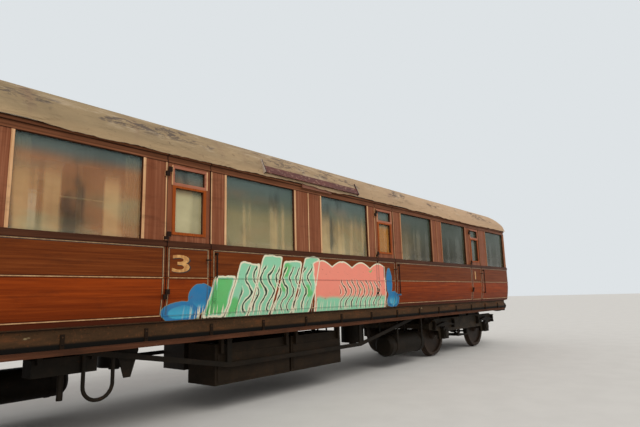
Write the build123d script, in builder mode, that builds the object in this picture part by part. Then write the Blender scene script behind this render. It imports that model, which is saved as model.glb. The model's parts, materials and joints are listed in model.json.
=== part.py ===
"""Bow-ended teak side-corridor coach of the 1920s on two four-wheel bogies.

+X runs along the coach towards the first-class end, and the near side, with the corridor, faces -Y.
Sizes are in millimetres and heights are given above the rail. Every solid is lifted by the wheel flange,
so that the coach stands on a floor at Z 0. Most of it is the same when turned half round, so a piece
of the far side or the other end is the near one turned by 180 degrees.
"""

import os
from math import cos, hypot, radians, sin, sqrt

from build123d import *

# Driving dimensions

# Bays of a side, from the middle of the coach outwards: kind and width
WINDOW = 1397
DOOR = 660
BAYS = (
    ("post", 344),
    ("window", WINDOW),
    ("post", 279),
    ("door", DOOR),
    ("post", 338),
    ("window", WINDOW),
    ("post", 524),
    ("window", WINDOW),
    ("post", 244),
    ("door", DOOR),
    ("post", 516),
    ("window", WINDOW),
    ("post", 119.5),
)
BOW = 100  # how far each end wall bows out between its corners

# Cross-section of the body: distances from the centre line
SIDE_OUT = 1372  # waist panel
PANEL_OUT = SIDE_OUT - 17  # panels between the windows
SILL_OUT = SIDE_OUT - 62  # foot of the side, below its turn-under
WALL = 93
SIDE_IN = PANEL_OUT - WALL
END_WALL = 80

# Heights, each from the one that carries it
WHEEL_R = 533
FLANGE = 28
BOGIE_TOP = WHEEL_R + 347
BOLSTER_TOP = BOGIE_TOP + 60
PIVOT_Z = BOLSTER_TOP + 60  # where the bogie meets the body
FRAME_FOOT = PIVOT_Z + 35
FRAME_TOP = FRAME_FOOT + 195
FLOOR_TOP = FRAME_TOP + 60
BODY_FOOT = FRAME_TOP + 15
TURN_UNDER_TOP = BODY_FOOT + 515
WAIST = BODY_FOOT + 891
WINDOW_SILL = WAIST + 74
WINDOW_HEAD = WINDOW_SILL + 990
EAVES = WINDOW_HEAD + 130

# Doors
DOOR_GAP = 6  # round a closed door
DOOR_BEVEL = 26  # how much the lock edge falls back at the inner face, so that the door can swing
DROPLIGHT_WIDTH = 430
DROPLIGHT_FOOT = WINDOW_SILL + 115
DROPLIGHT_HEAD = WINDOW_HEAD - 310
VENT_WIDTH = 470
VENT_FOOT = WINDOW_HEAD - 245
VENT_HEAD = WINDOW_HEAD - 60
RUNNING_GAP = 0.3
HINGE_OUT = SIDE_OUT + 20
HINGE_R = 11
HINGE_LENGTH = 60
HINGE_HEIGHTS = (BODY_FOOT + 315, WINDOW_SILL + 50, WINDOW_HEAD - 120)
HANDLE_HEIGHT = WAIST - 146
GRAB_RAIL = (TURN_UNDER_TOP - 280, WAIST - 56)
GRAB_RAIL_STEP = 75  # from the edge of the doorway

# Glass, mouldings, rails and curtains
GLASS = 8
GLASS_OUT = PANEL_OUT - 37
BEAD = 16
WINDOW_BEAD = 34
CORNICE = 26  # how far the cornice stands proud
RAIL_OUT = GLASS_OUT - 20
RAIL = (8, 16)
RAIL_HEIGHT = WINDOW_SILL + 390
CURTAIN_OUT = GLASS_OUT - 30
CURTAIN_THICK = 18
CURTAIN_WIDTH = 190

# Roof: half width, rise and radius at the eaves, outside and inside
ROOF = (PANEL_OUT + 60, 650, 460)
ROOF_INSIDE = (PANEL_OUT - 25, 595, 400)
ROOF_OVERHANG = 36
DOME_LENGTH = 900
DOME_DROP = 280
BOARD_SPAN = (-1060, 1340)  # destination board on the near side
BOARD = 120
BOARD_THICK = 18
BOARD_LEAN = 24  # in degrees, back against the roof
BOARD_BRACKET = 236
BATTEN_SPAN = (-180, 590)

# Underframe: distances from the centre line, and from the corner of the body along the coach
SOLEBAR_OUT = SIDE_OUT - 117
SOLEBAR = 75
LONGITUDINALS = (250, 330)
HEADSTOCK_INSET = 128.5
HEADSTOCK = 90
HEADSTOCK_FOOT = FRAME_FOOT - 105
MEMBER = 70
BOGIE_INSET = 2719.5
FOOTBOARD_OUT = SIDE_OUT + 30
FOOTBOARD_TOP = FRAME_FOOT - 15
FOOTBOARD = 50
FOOTBOARD_INSET = 522.5
FOOTBOARD_BRACKETS = 10

# Trussing
QUEEN_POST = 1560
TRUSS_FOOT = 600
TRUSS_CLEAR = 803  # from the bogie to the truss's end
TRUSS_OUT = SOLEBAR_OUT - 40
TRUSS_BAR = 64
TRUSS_THICK = 24

# Boxes, tanks and cylinders under the floor
BOX_SPANS = ((-1750, -290), (-250, 1030))  # low and high X of each battery box on the near side
BOX_FACE = SOLEBAR_OUT - 105
BOX_DEPTH = 590
BOX_HEIGHTS = (340, 880)
HANGER = 50
TANK_LENGTH = 1440
TANK_CLEAR = 283  # from the bogie to the tank
TANK_R = 220
TANK_Z = 433
TANK_FACE = SOLEBAR_OUT - 135
TANK_BANDS = (220, 1270)  # from the tank's inner end
BAND = 50
CYLINDER_R = 230
CYLINDER_Y = 520
CYLINDER_HEIGHTS = (560, 960)
VALVE_BOX = (670, 220, 180)  # length, depth and height
VALVE_BOX_TOP = 930
VALVE_BOX_END = 3370  # its inner end, from the middle of the coach
PIPE_R = 21
PIPE_FOOT = 447
PIPE_SPAN = 330

# Bogies
WHEELBASE = 2591
WHEEL_WIDTH = 127
BACK_TO_BACK = 1362
AXLE_R = 75
JOURNAL_R = 58
JOURNAL_GAP = 0.3
PLATE_OUT = 1065  # middle of the frame plate
PLATE = 26
BOGIE_HALF = WHEELBASE / 2 + WHEEL_R + 171.5  # past the outer wheels
PLATE_WAIST = WHEEL_R + 27  # foot of the plate between the horns
HORN_FOOT = WHEEL_R - 133
HORN = 46
AXLEBOX = 252
AXLEBOX_IN = PLATE_OUT - 80
AXLEBOX_OUT = PLATE_OUT + 100
AXLEBOX_HEIGHTS = (WHEEL_R - 128, WHEEL_R + 132)
JOURNAL_END = AXLEBOX_OUT - 25
SPRING_REACH = 520
SPRING_WIDTH = 76
SPRING_OUT = PLATE_OUT + 60
SPRING_TOP = BOGIE_TOP - 97
LEAF = 13
LEAVES = 6
TRANSOM = (290, 370)  # from the bogie's centre
BOLSTER = 440
BOLSTER_DEPTH = 220
PIVOT_R = 190
PIN_R = 45
PIN_LENGTH = 150
COIL_R = 85
COIL_PLACE = (110, 800)
PLANK_Z = WHEEL_R - 153
PLANK = 32
BRAKE_CLEAR = 6
SHOE = 60

# Ends
BUFFER_Z = 1054
BUFFER_SPACING = 1727
BUFFER_REACH = 441  # from the headstock
GANGWAY_HALF = 355
GANGWAY_RIM = 95
GANGWAY_PAD = 12
GANGWAY_FOLDS = 6
GANGWAY_FOLD = 33
FACE_PLATE = 30

# Inside
PARTITION = 30
CORRIDOR = 642
DOORWAY = 620
DOORWAY_HEAD = WINDOW_HEAD - 40
LIGHT = 380
DOOR_POST = 60  # between a doorway and a light
SEAT_DEPTH = 560
SEAT_TOP = FLOOR_TOP + 440
CUSHION = 130
SEAT_BACK = 120
SEAT_BACK_TOP = SEAT_TOP + 810
SOFT_GAP = 6


def bay_places(kind):
    """Middle of each bay of one kind, from the middle of the coach outwards."""
    places, start = [], 0
    for name, width in BAYS:
        if name == kind:
            places.append(start + width / 2)
        start += width
    return places


def both(values):
    """The values and their mirror images."""
    return [sign * value for value in values for sign in (-1, 1)]


CORNER = sum(width for name, width in BAYS)
HALF = CORNER + BOW
BOW_R = (PANEL_OUT**2 + BOW**2) / (2 * BOW)
TURN_R = ((TURN_UNDER_TOP - BODY_FOOT) ** 2 + (SIDE_OUT - SILL_OUT) ** 2) / (2 * (SIDE_OUT - SILL_OUT))
WINDOWS = sorted(both(bay_places("window")))
DOORS = sorted(both(bay_places("door")))
BOGIE_X = CORNER - BOGIE_INSET
AXLE_X = WHEELBASE / 2
FRAME_END = CORNER - HEADSTOCK_INSET
TRUSS_END = BOGIE_X - BOGIE_HALF - TRUSS_CLEAR
TANK_X = BOGIE_X - BOGIE_HALF - TANK_CLEAR - TANK_LENGTH
DOME_START = HALF - DOME_LENGTH
CROWN = EAVES + ROOF[1]
BELLOWS_START = HALF + GANGWAY_PAD
CORRIDOR_WALL = (CORRIDOR - SIDE_IN, CORRIDOR - SIDE_IN + PARTITION)

# The cross walls stand in the posts between two compartments, or a compartment and a lobby
LOBBY_WALL, LOBBY_FAR, MIDDLE_WALL, LAST_WALL = bay_places("post")[1:5]
ROOMS = ((0, LOBBY_WALL), (LOBBY_FAR, MIDDLE_WALL), (MIDDLE_WALL, LAST_WALL))
# centre of each compartment, and half its length
FIRST_CLASS = [((low + high) / 2, (high - low - PARTITION) / 2) for low, high in ROOMS]
THIRD_CLASS = [(-centre, half) for centre, half in FIRST_CLASS]

os.makedirs("parts", exist_ok=True)


# Helpers


def write(name, part):
    """Exports a finished piece at the height at which the coach stands."""
    standing = part.moved(Location((0, 0, FLANGE)))
    standing.label = name
    export_step(standing, f"parts/{name}.step")


def block(x, y, z, mode=Mode.ADD):
    """A box between the two values of each pair, in the part being built."""
    with Locations(((x[0] + x[1]) / 2, (y[0] + y[1]) / 2, (z[0] + z[1]) / 2)):
        Box(abs(x[1] - x[0]), abs(y[1] - y[0]), abs(z[1] - z[0]), mode=mode)


def disc(plane, centre, radius, length, mode=Mode.ADD):
    """A cylinder that starts on a plane, in the part being built."""
    with BuildSketch(plane) as face:
        with Locations(centre):
            Circle(radius)
    extrude(face.sketch, amount=length, mode=mode)


def spans(places, width):
    """Low and high value of what is centred on each place."""
    return [(place - width / 2, place + width / 2) for place in places]


def pair(part):
    """A piece and its copy turned half round the coach, as one part."""
    with BuildPart() as two:
        add(part)
        add(part.rotate(Axis.Z, 180))
    return two.part


def side_face(z):
    """Distance of the side's outer face from the centre line at a height."""
    if z >= WINDOW_SILL:
        return PANEL_OUT
    fall = max(TURN_UNDER_TOP - z, 0)
    return SIDE_OUT - (TURN_R - sqrt(TURN_R**2 - fall**2))


def bow_x(y, inset=0):
    """Where the bowed end's face, or a face inside it, lies at a distance from the centre line."""
    radius = BOW_R - inset
    return HALF - inset - (radius - sqrt(radius**2 - y**2))


def roof_outline(half, rise, eaves_r):
    """The closed three-centred arch of the roof, in the sketch being built."""
    crown_r = ((half - eaves_r) ** 2 + rise**2 - eaves_r**2) / (2 * (rise - eaves_r))
    drop = crown_r - rise
    reach = hypot(half - eaves_r, drop)
    meet = (crown_r * (half - eaves_r) / reach, EAVES + crown_r * drop / reach - drop)
    haunch = (half - eaves_r * (1 - cos(radians(30))), EAVES + eaves_r * sin(radians(30)))
    with BuildLine() as arch:
        ThreePointArc((half, EAVES), haunch, meet)
        ThreePointArc(meet, (0, EAVES + rise), (-meet[0], meet[1]))
        ThreePointArc((-meet[0], meet[1]), (-haunch[0], haunch[1]), (-half, EAVES))
        Line((-half, EAVES), (half, EAVES))
    make_face(arch.edges())


def wall_blank(x):
    """A length of the near side with its mouldings, between two values of x."""
    middle = (TURN_UNDER_TOP + BODY_FOOT) / 2
    with BuildSketch(Plane.YZ.offset(x[0])) as section:
        with BuildLine():
            Polyline(
                (-SIDE_OUT, TURN_UNDER_TOP),
                (-SIDE_OUT, WINDOW_SILL),
                (-PANEL_OUT, WINDOW_SILL),
                (-PANEL_OUT, EAVES),
                (-SIDE_IN, EAVES),
                (-SIDE_IN, BODY_FOOT),
                (-SILL_OUT, BODY_FOOT),
            )
            ThreePointArc((-SILL_OUT, BODY_FOOT), (-side_face(middle), middle), (-SIDE_OUT, TURN_UNDER_TOP))
        make_face()
    extrude(section.sketch, amount=x[1] - x[0])
    # foot, height and projection of each moulding
    mouldings = (
        (BODY_FOOT + 53, BEAD, 6),
        (TURN_UNDER_TOP - 10, BEAD, 6),
        (WAIST, WINDOW_SILL - WAIST - 12, 14),
        (WINDOW_HEAD + 4, 26, 10),
        (EAVES - 48, 48, CORNICE),
    )
    for foot, height, proud in mouldings:
        face = min(side_face(foot), side_face(foot + height))
        block(x, (-SIDE_IN, -face - proud), (foot, foot + height))


def hinge_knuckles(x, towards, shift):
    """Near-side hinge barrels on the axis at x, each with a strap back to the wood on one side."""
    for height in HINGE_HEIGHTS:
        with BuildSketch(Plane.XY.offset(height + shift)) as knuckle:
            with Locations((x, -HINGE_OUT)):
                Circle(HINGE_R)
            with Locations((x + towards * 13, -HINGE_OUT + 1)):
                Rectangle(26, 14)
            with Locations((x + towards * 26, -HINGE_OUT + 17)):
                Rectangle(36, 46)
        extrude(knuckle.sketch, amount=HINGE_LENGTH)


# Body sides

WINDOW_SPANS = spans(WINDOWS, WINDOW)
THROUGH_WALL = (-SIDE_OUT - 60, -SIDE_IN)

with BuildPart() as side_near:
    wall_blank((-CORNER, CORNER))
    # middle and width of each upright bead
    beads = [(x, 18) for x in (0, *both([MIDDLE_WALL]))] + [(x, 40) for x in both([CORNER - 20])]
    beads += [(x + end * WINDOW / 2, 2 * WINDOW_BEAD) for x in WINDOWS for end in (-1, 1)]
    beads += [(x + end * (DOOR / 2 + DOOR_GAP), 44) for x in DOORS for end in (-1, 1)]
    head = WINDOW_HEAD + DOOR_GAP
    for middle, width in beads:
        block((middle - width / 2, middle + width / 2), (-SIDE_IN, -PANEL_OUT - 9), (WINDOW_SILL, head))
    for span in WINDOW_SPANS:
        block(span, THROUGH_WALL, (WINDOW_SILL, WINDOW_HEAD), mode=Mode.SUBTRACT)
    for low, high in spans(DOORS, DOOR + 2 * DOOR_GAP):
        block((low, high), THROUGH_WALL, (BODY_FOOT, head), mode=Mode.SUBTRACT)
        hinge_knuckles(low + DOOR_GAP, -1, -HINGE_LENGTH - RUNNING_GAP)
        x = high + GRAB_RAIL_STEP
        disc(Plane.XY.offset(GRAB_RAIL[0]), (x, -SIDE_OUT - 45), 11, GRAB_RAIL[1] - GRAB_RAIL[0])
        for z in GRAB_RAIL:
            block((x - 14, x + 14), (-SIDE_OUT - 56, -PANEL_OUT + 20), (z - 14, z + 14))
write("side_near", side_near.part)
write("side_far", side_near.part.rotate(Axis.Z, 180))


# Doors

# width, foot and head of each light of a door
DOOR_LIGHTS = (
    (DROPLIGHT_WIDTH, DROPLIGHT_FOOT, DROPLIGHT_HEAD),
    (VENT_WIDTH, VENT_FOOT, VENT_HEAD),
)


def door_leaf(low, high):
    """A side door of the near side, hinged at its low X edge."""
    centre = (low + high) / 2
    inner_face = -SIDE_IN - DOOR_GAP
    with BuildPart() as door:
        wall_blank((low, high))
        block((low, high), THROUGH_WALL, (WINDOW_HEAD, EAVES), mode=Mode.SUBTRACT)
        block((low, high), (inner_face, -SIDE_IN), (BODY_FOOT, EAVES), mode=Mode.SUBTRACT)
        for width, foot, head in DOOR_LIGHTS:
            frame = (centre - width / 2 - 42, centre + width / 2 + 42)
            block(frame, (-PANEL_OUT - 14, inner_face), (foot - 34, head + 34))
        for width, foot, head in DOOR_LIGHTS:
            light = (centre - width / 2, centre + width / 2)
            block(light, THROUGH_WALL, (foot, head), mode=Mode.SUBTRACT)
        with BuildSketch(Plane.XY.offset(BODY_FOOT)):
            Polygon(
                (high, -SIDE_OUT),
                (high + 40, -SIDE_OUT),
                (high + 40, -SIDE_IN),
                (high - DOOR_BEVEL, -SIDE_IN),
                align=None,
            )
        extrude(amount=EAVES - BODY_FOOT, mode=Mode.SUBTRACT)
        hinge_knuckles(low, 1, 0)
        disc(Plane.XZ.offset(PANEL_OUT), (high - 60, HANDLE_HEIGHT), 10, SIDE_OUT - PANEL_OUT + 44)
        handle = (-SIDE_OUT - 58, -SIDE_OUT - 42)
        block((high - 100, high - 20), handle, (HANDLE_HEIGHT - 9, HANDLE_HEIGHT + 9))
    return door.part


def door_panes(centre):
    """The droplight and the ventilator pane of one near-side door."""
    with BuildPart() as panes:
        for width, foot, head in DOOR_LIGHTS:
            light = (centre - width / 2, centre + width / 2)
            block(light, (-GLASS_OUT, -GLASS_OUT + GLASS), (foot, head))
    return panes.part


for number, (low, high) in enumerate(spans(DOORS, DOOR), start=1):
    leaf = door_leaf(low, high)
    panes = door_panes((low + high) / 2)
    write(f"door_near_{number}", leaf)
    write(f"door_glass_near_{number}", panes)
    write(f"door_far_{number}", leaf.rotate(Axis.Z, 180))
    write(f"door_glass_far_{number}", panes.rotate(Axis.Z, 180))


# Roof


def vault(size, reach, mode=Mode.ADD):
    """The roof's arch along the coach with its two domed ends, in the part being built."""
    half, rise, eaves_r = size
    with BuildSketch(Plane.YZ.offset(-DOME_START)) as arch:
        roof_outline(half, rise, eaves_r)
    extrude(arch.sketch, amount=2 * DOME_START, mode=mode)
    # distance from the coach's middle, half width and rise of each section of the dome
    sections = (
        (DOME_START, half, rise),
        ((DOME_START + reach) / 2, half, rise - 0.26 * DOME_DROP),
        (reach, half - 40, rise - DOME_DROP),
    )
    for sign in (-1, 1):
        faces = []
        for x, width, height in sections:
            with BuildSketch(Plane.YZ.offset(sign * x)) as section:
                roof_outline(width, height, eaves_r * height / rise)
            faces.append(section.sketch)
        loft(faces, mode=mode)


with BuildPart() as roof_blank:
    vault(ROOF, HALF + ROOF_OVERHANG)
    tip, corner, edge = HALF + ROOF_OVERHANG, CORNER + ROOF_OVERHANG, ROOF[0]
    with BuildSketch(Plane.XY.offset(EAVES)):
        with BuildLine():
            ThreePointArc((corner, -edge), (tip, 0), (corner, edge))
            Line((corner, edge), (-corner, edge))
            ThreePointArc((-corner, edge), (-tip, 0), (-corner, -edge))
            Line((-corner, -edge), (corner, -edge))
        make_face()
    extrude(amount=ROOF[1] + 10, mode=Mode.INTERSECT)

with BuildPart() as roof:
    add(roof_blank.part)
    vault(ROOF_INSIDE, bow_x(SIDE_IN, END_WALL), mode=Mode.SUBTRACT)
write("roof", roof.part)

with BuildPart() as vents:
    for x in [place for place in WINDOWS if 0 < place < DOME_START - 200]:
        disc(Plane.XY.offset(CROWN - 25), (x, 0), 52, 60)
        block((x - 140, x + 140), (-60, 60), (CROWN + 30, CROWN + 110))
    add(roof_blank.part, mode=Mode.SUBTRACT)
write("roof_ventilators", pair(vents.part))

with BuildPart() as board:
    # the long destination board on its brackets, its end brackets, and the batten on the cornice
    lean = radians(BOARD_LEAN)
    foot = (0, -ROOF[0] - 45, EAVES + 23)
    leaning = Plane(origin=foot, x_dir=(1, 0, 0), z_dir=(0, -cos(lean), sin(lean)))
    low, high = BOARD_SPAN
    with BuildSketch(leaning) as face:
        with Locations(((low + high) / 2, BOARD / 2)):
            Rectangle(high - low, BOARD)
    extrude(face.sketch, amount=-BOARD_THICK)
    with BuildSketch(leaning.offset(-BOARD_THICK)) as supports:
        with Locations([(x, BOARD / 2) for x in (low + 100, (low + high) / 2, high - 100)]):
            Rectangle(40, BOARD - 30)
    extrude(supports.sketch, amount=-60)
    with BuildSketch(leaning.offset(8)) as brackets:
        with Locations([(x, BOARD_BRACKET / 2 - 6) for x in (low - 13, high + 13)]):
            Rectangle(26, BOARD_BRACKET)
    extrude(brackets.sketch, amount=-90)
    cornice_face = PANEL_OUT + CORNICE
    block((-HALF, HALF), (-ROOF[0], 0), (EAVES - ROOF[1], EAVES), mode=Mode.SUBTRACT)
    block(BATTEN_SPAN, (-cornice_face - 20, -cornice_face), (EAVES - 72, EAVES - 14))
    add(roof_blank.part, mode=Mode.SUBTRACT)
write("roof_boards", pair(board.part))


# End walls


def end_wall(sign):
    """A bowed end wall with its gangway doorway."""
    out, inner = sign * bow_x(SIDE_IN), sign * bow_x(SIDE_IN, END_WALL)
    with BuildPart() as wall:
        with BuildSketch(Plane.XY.offset(FRAME_TOP)):
            with BuildLine():
                ThreePointArc((out, -SIDE_IN), (sign * HALF, 0), (out, SIDE_IN))
                Line((out, SIDE_IN), (inner, SIDE_IN))
                ThreePointArc((inner, SIDE_IN), (sign * (HALF - END_WALL), 0), (inner, -SIDE_IN))
                Line((inner, -SIDE_IN), (out, -SIDE_IN))
            make_face()
        extrude(amount=EAVES - FRAME_TOP)
        pad = (sign * (HALF - END_WALL), sign * BELLOWS_START)
        half = GANGWAY_HALF + GANGWAY_RIM
        block(pad, (-half, half), (FLOOR_TOP - 50, WINDOW_HEAD + GANGWAY_RIM))
        through = (sign * (HALF - 300), sign * (HALF + 100))
        block(through, (-GANGWAY_HALF, GANGWAY_HALF), (FLOOR_TOP, WINDOW_HEAD), mode=Mode.SUBTRACT)
    return wall.part


write("end_first", end_wall(1))
write("end_third", end_wall(-1))


# Fixed glass, rails and curtains

with BuildPart() as window_glass:
    for span in WINDOW_SPANS:
        for side in (-1, 1):
            pane = (side * GLASS_OUT, side * (GLASS_OUT - GLASS))
            block(span, pane, (WINDOW_SILL, WINDOW_HEAD))
write("window_glass", window_glass.part)

with BuildPart() as window_rails:
    thick, tall = RAIL
    for span in WINDOW_SPANS:
        for side in (-1, 1):
            rail = (side * RAIL_OUT, side * (RAIL_OUT - thick))
            block(span, rail, (RAIL_HEIGHT - tall / 2, RAIL_HEIGHT + tall / 2))
write("window_rails", window_rails.part)

with BuildPart() as curtains:
    for low, high in WINDOW_SPANS:
        for side in (-1, 1):
            cloth = (side * CURTAIN_OUT, side * (CURTAIN_OUT - CURTAIN_THICK))
            for x in ((low + 4, low + CURTAIN_WIDTH), (high - CURTAIN_WIDTH, high - 4)):
                block(x, cloth, (WINDOW_SILL + 20, WINDOW_HEAD - RUNNING_GAP))
write("curtains", curtains.part)


# Floor and underframe

with BuildPart() as floor:
    end = bow_x(SIDE_IN, END_WALL)
    block((-end, end), (-SIDE_IN, SIDE_IN), (FRAME_TOP, FLOOR_TOP))
write("floor", floor.part)

# distance from the middle and width of each cross member
CROSS_MEMBERS = (
    (QUEEN_POST, MEMBER),
    (TANK_X + TANK_BANDS[0], MEMBER),
    (TANK_X + TANK_BANDS[1], MEMBER),
    (BOGIE_X - BOGIE_HALF - 53, MEMBER),
    (BOGIE_X, 2 * PIVOT_R + 40),
    (BOGIE_X + BOGIE_HALF + 67, MEMBER),
)

with BuildPart() as underframe:
    height = (FRAME_FOOT, FRAME_TOP)
    across = (-SOLEBAR_OUT, SOLEBAR_OUT)
    block((-MEMBER / 2, MEMBER / 2), across, height)
    for side in (-1, 1):
        block((-FRAME_END, FRAME_END), (side * SOLEBAR_OUT, side * (SOLEBAR_OUT - SOLEBAR)), height)
        block((-FRAME_END, FRAME_END), [side * y for y in LONGITUDINALS], height)
        headstock = (side * (FRAME_END - HEADSTOCK), side * FRAME_END)
        block(headstock, across, (HEADSTOCK_FOOT, FRAME_TOP))
        for x, width in CROSS_MEMBERS:
            block((side * x - width / 2, side * x + width / 2), across, height)
        disc(Plane.XY.offset(PIVOT_Z), (side * BOGIE_X, 0), PIVOT_R, FRAME_FOOT - PIVOT_Z)
        disc(Plane.XY.offset(PIVOT_Z - PIN_LENGTH), (side * BOGIE_X, 0), PIN_R, PIN_LENGTH)
write("underframe", underframe.part)

with BuildPart() as footboards:
    end = CORNER - FOOTBOARD_INSET
    for side in (-1, 1):
        board = (side * SOLEBAR_OUT, side * FOOTBOARD_OUT)
        block((-end, end), board, (FOOTBOARD_TOP - FOOTBOARD, FOOTBOARD_TOP))
        for step in range(1 - FOOTBOARD_BRACKETS, FOOTBOARD_BRACKETS):
            x = step * end / (FOOTBOARD_BRACKETS - 0.8)
            bracket = (side * SOLEBAR_OUT, side * (SOLEBAR_OUT + 14))
            block((x - 22, x + 22), bracket, (FOOTBOARD_TOP, FOOTBOARD_TOP + 150))
write("footboards", footboards.part)

with BuildPart() as trussing:
    chord = FRAME_FOOT - TRUSS_BAR / 2
    for side in (-1, 1):
        with BuildSketch(Plane.XZ.offset(side * TRUSS_OUT)):
            with BuildLine():
                Polyline(
                    (-TRUSS_END, chord),
                    (-QUEEN_POST, TRUSS_FOOT),
                    (QUEEN_POST, TRUSS_FOOT),
                    (TRUSS_END, chord),
                )
                offset(amount=TRUSS_BAR / 2, side=Side.BOTH)
            make_face()
            for x in (-QUEEN_POST, QUEEN_POST):
                with Locations((x, (TRUSS_FOOT + FRAME_FOOT) / 2)):
                    Rectangle(80, FRAME_FOOT - TRUSS_FOOT)
                with Locations((x, FRAME_FOOT - 10)):
                    Rectangle(240, 20)
            with Locations((0, FRAME_FOOT + 200)):
                Rectangle(2 * TRUSS_END + 400, 400, mode=Mode.SUBTRACT)
        extrude(amount=TRUSS_THICK / 2, both=True)
write("trussing", trussing.part)


# Boxes, tanks and cylinders under the floor


def strap(x, foot):
    """A strap on a box's face that hangs it from the near solebar."""
    block((x - 25, x + 25), (-BOX_FACE - HANGER, -BOX_FACE), (foot, FRAME_FOOT))


with BuildPart() as boxes:
    foot, top = BOX_HEIGHTS
    for low, high in BOX_SPANS:
        block((low, high), (-BOX_FACE, -BOX_FACE + BOX_DEPTH), (foot, top))
        block((low + 40, high - 40), (-BOX_FACE - 8, -BOX_FACE), (foot + 45, top - 130))
        for x in (low + 90, high - 90):
            strap(x, top - 120)
write("battery_boxes", pair(boxes.part))

with BuildPart() as tank:
    middle = TANK_R - TANK_FACE
    disc(Plane.YZ.offset(TANK_X), (middle, TANK_Z), TANK_R, TANK_LENGTH)
    chamfer(tank.edges().filter_by(GeomType.CIRCLE), 45)
    for band in TANK_BANDS:
        start = TANK_X + band - BAND / 2
        disc(Plane.YZ.offset(start), (middle, TANK_Z), TANK_R + 8, BAND)
        for edge in (middle - TANK_R, middle + TANK_R):
            block((start, start + BAND), (edge - 8, edge + 8), (TANK_Z, FRAME_FOOT))
write("gas_tanks", pair(tank.part))

with BuildPart() as cylinder:
    low = QUEEN_POST - MEMBER / 2
    high = TANK_X + TANK_BANDS[0] - BAND / 2 - 4
    centre = (low + high) / 2
    foot, top = CYLINDER_HEIGHTS
    disc(Plane.XY.offset(foot), (centre, -CYLINDER_Y), CYLINDER_R, top - foot)
    disc(Plane.XY.offset(foot - 40), (centre, -CYLINDER_Y), CYLINDER_R / 3, 40)
    for y in (-CYLINDER_Y - 200, -CYLINDER_Y + 200):
        block((centre - 30, centre + 30), (y - 12, y + 12), (top - 60, FRAME_FOOT))
    plate = (-CYLINDER_Y - 240, -CYLINDER_Y + 240)
    block((low, high), plate, (FRAME_FOOT - 12, FRAME_FOOT))
write("brake_cylinders", pair(cylinder.part))

with BuildPart() as fittings:
    long, deep, tall = VALVE_BOX
    low, high = -VALVE_BOX_END - long, -VALVE_BOX_END
    foot = VALVE_BOX_TOP - tall
    block((low, high), (-BOX_FACE, -BOX_FACE + deep), (foot, VALVE_BOX_TOP))
    for x in (low + 60, high - 60):
        strap(x, VALVE_BOX_TOP - 50)
    disc(Plane.XY.offset(foot - 270), ((low + high) / 2, -BOX_FACE + deep / 2), 32, 270)
    # the U-shaped pipe between the box and the truss, and the tapered bracket beside it
    start, y = high - 160, -BOX_FACE - HANGER / 2
    with BuildLine() as route:
        FilletPolyline(
            (start, y, FRAME_FOOT),
            (start, y, PIPE_FOOT),
            (start + PIPE_SPAN, y, PIPE_FOOT),
            (start + PIPE_SPAN, y, FRAME_FOOT),
            radius=PIPE_SPAN / 2 - 5,
        )
    with BuildSketch(Plane.XY.offset(FRAME_FOOT)) as ring:
        with Locations((start, y)):
            Circle(PIPE_R)
    sweep(ring.sketch, path=route.line)
    with BuildSketch(Plane.XZ.offset(10 - y)) as bracket:
        with Locations((start + PIPE_SPAN + 40, FRAME_FOOT)):
            Polygon((0, 0), (260, 0), (260, -110), (170, -400), (90, -400), (0, -110), align=None)
    extrude(bracket.sketch, amount=-20)
write("underframe_fittings", pair(fittings.part))


# Bogies


def plate_outline():
    """Side view of a bogie's frame plate, in the sketch being built."""
    inner = AXLE_X - AXLEBOX / 2 - HORN
    outer = AXLE_X + AXLEBOX / 2 + HORN
    half = (
        (BOGIE_HALF - 260, BOGIE_TOP),
        (BOGIE_HALF, BOGIE_TOP - 90),
        (BOGIE_HALF, BOGIE_TOP - 230),
        (outer + 60, PLATE_WAIST + 40),
        (outer, HORN_FOOT),
        (inner, HORN_FOOT),
        (inner - 60, PLATE_WAIST),
    )
    Polygon(*half, *[(-x, z) for x, z in reversed(half)], align=None)
    top = AXLEBOX_HEIGHTS[1] + 25
    for x in (-AXLE_X, AXLE_X):
        with Locations((x, (HORN_FOOT + top) / 2)):
            Rectangle(AXLEBOX, top - HORN_FOOT, mode=Mode.SUBTRACT)


def bogie_frame():
    """Frame plates, transoms, headstocks and spring brackets of a bogie centred on the origin."""
    inner = PLATE_OUT - PLATE / 2
    with BuildPart() as frame:
        for side in (-1, 1):
            with BuildSketch(Plane.XZ.offset(side * PLATE_OUT)) as plate:
                plate_outline()
            extrude(plate.sketch, amount=PLATE / 2, both=True)
            block([side * x for x in TRANSOM], (-inner, inner), (PLATE_WAIST + 40, BOGIE_TOP - 20))
            headstock = (side * (BOGIE_HALF - 70), side * BOGIE_HALF)
            block(headstock, (-inner, inner), (BOGIE_TOP - 215, BOGIE_TOP - 95))
            bracket = (side * (inner + PLATE), side * (SPRING_OUT + SPRING_WIDTH / 2))
            for x in both([AXLE_X - SPRING_REACH, AXLE_X + SPRING_REACH]):
                block((x - 36, x + 36), bracket, (BOGIE_TOP - 55, BOGIE_TOP - 30))
    return frame.part


def axleboxes():
    """The four axleboxes of a bogie, with the blind bores of the journals."""
    depth = JOURNAL_END + 6 - AXLEBOX_IN
    with BuildPart() as boxes:
        for x in (-AXLE_X, AXLE_X):
            for side in (-1, 1):
                body = (side * AXLEBOX_IN, side * AXLEBOX_OUT)
                block((x - AXLEBOX / 2, x + AXLEBOX / 2), body, AXLEBOX_HEIGHTS)
                disc(Plane.XZ.offset(-side * AXLEBOX_OUT), (x, WHEEL_R), 95, -side * 20)
                mouth = Plane.XZ.offset(-side * AXLEBOX_IN)
                disc(mouth, (x, WHEEL_R), JOURNAL_R + JOURNAL_GAP, -side * depth, mode=Mode.SUBTRACT)
    return boxes.part


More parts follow.
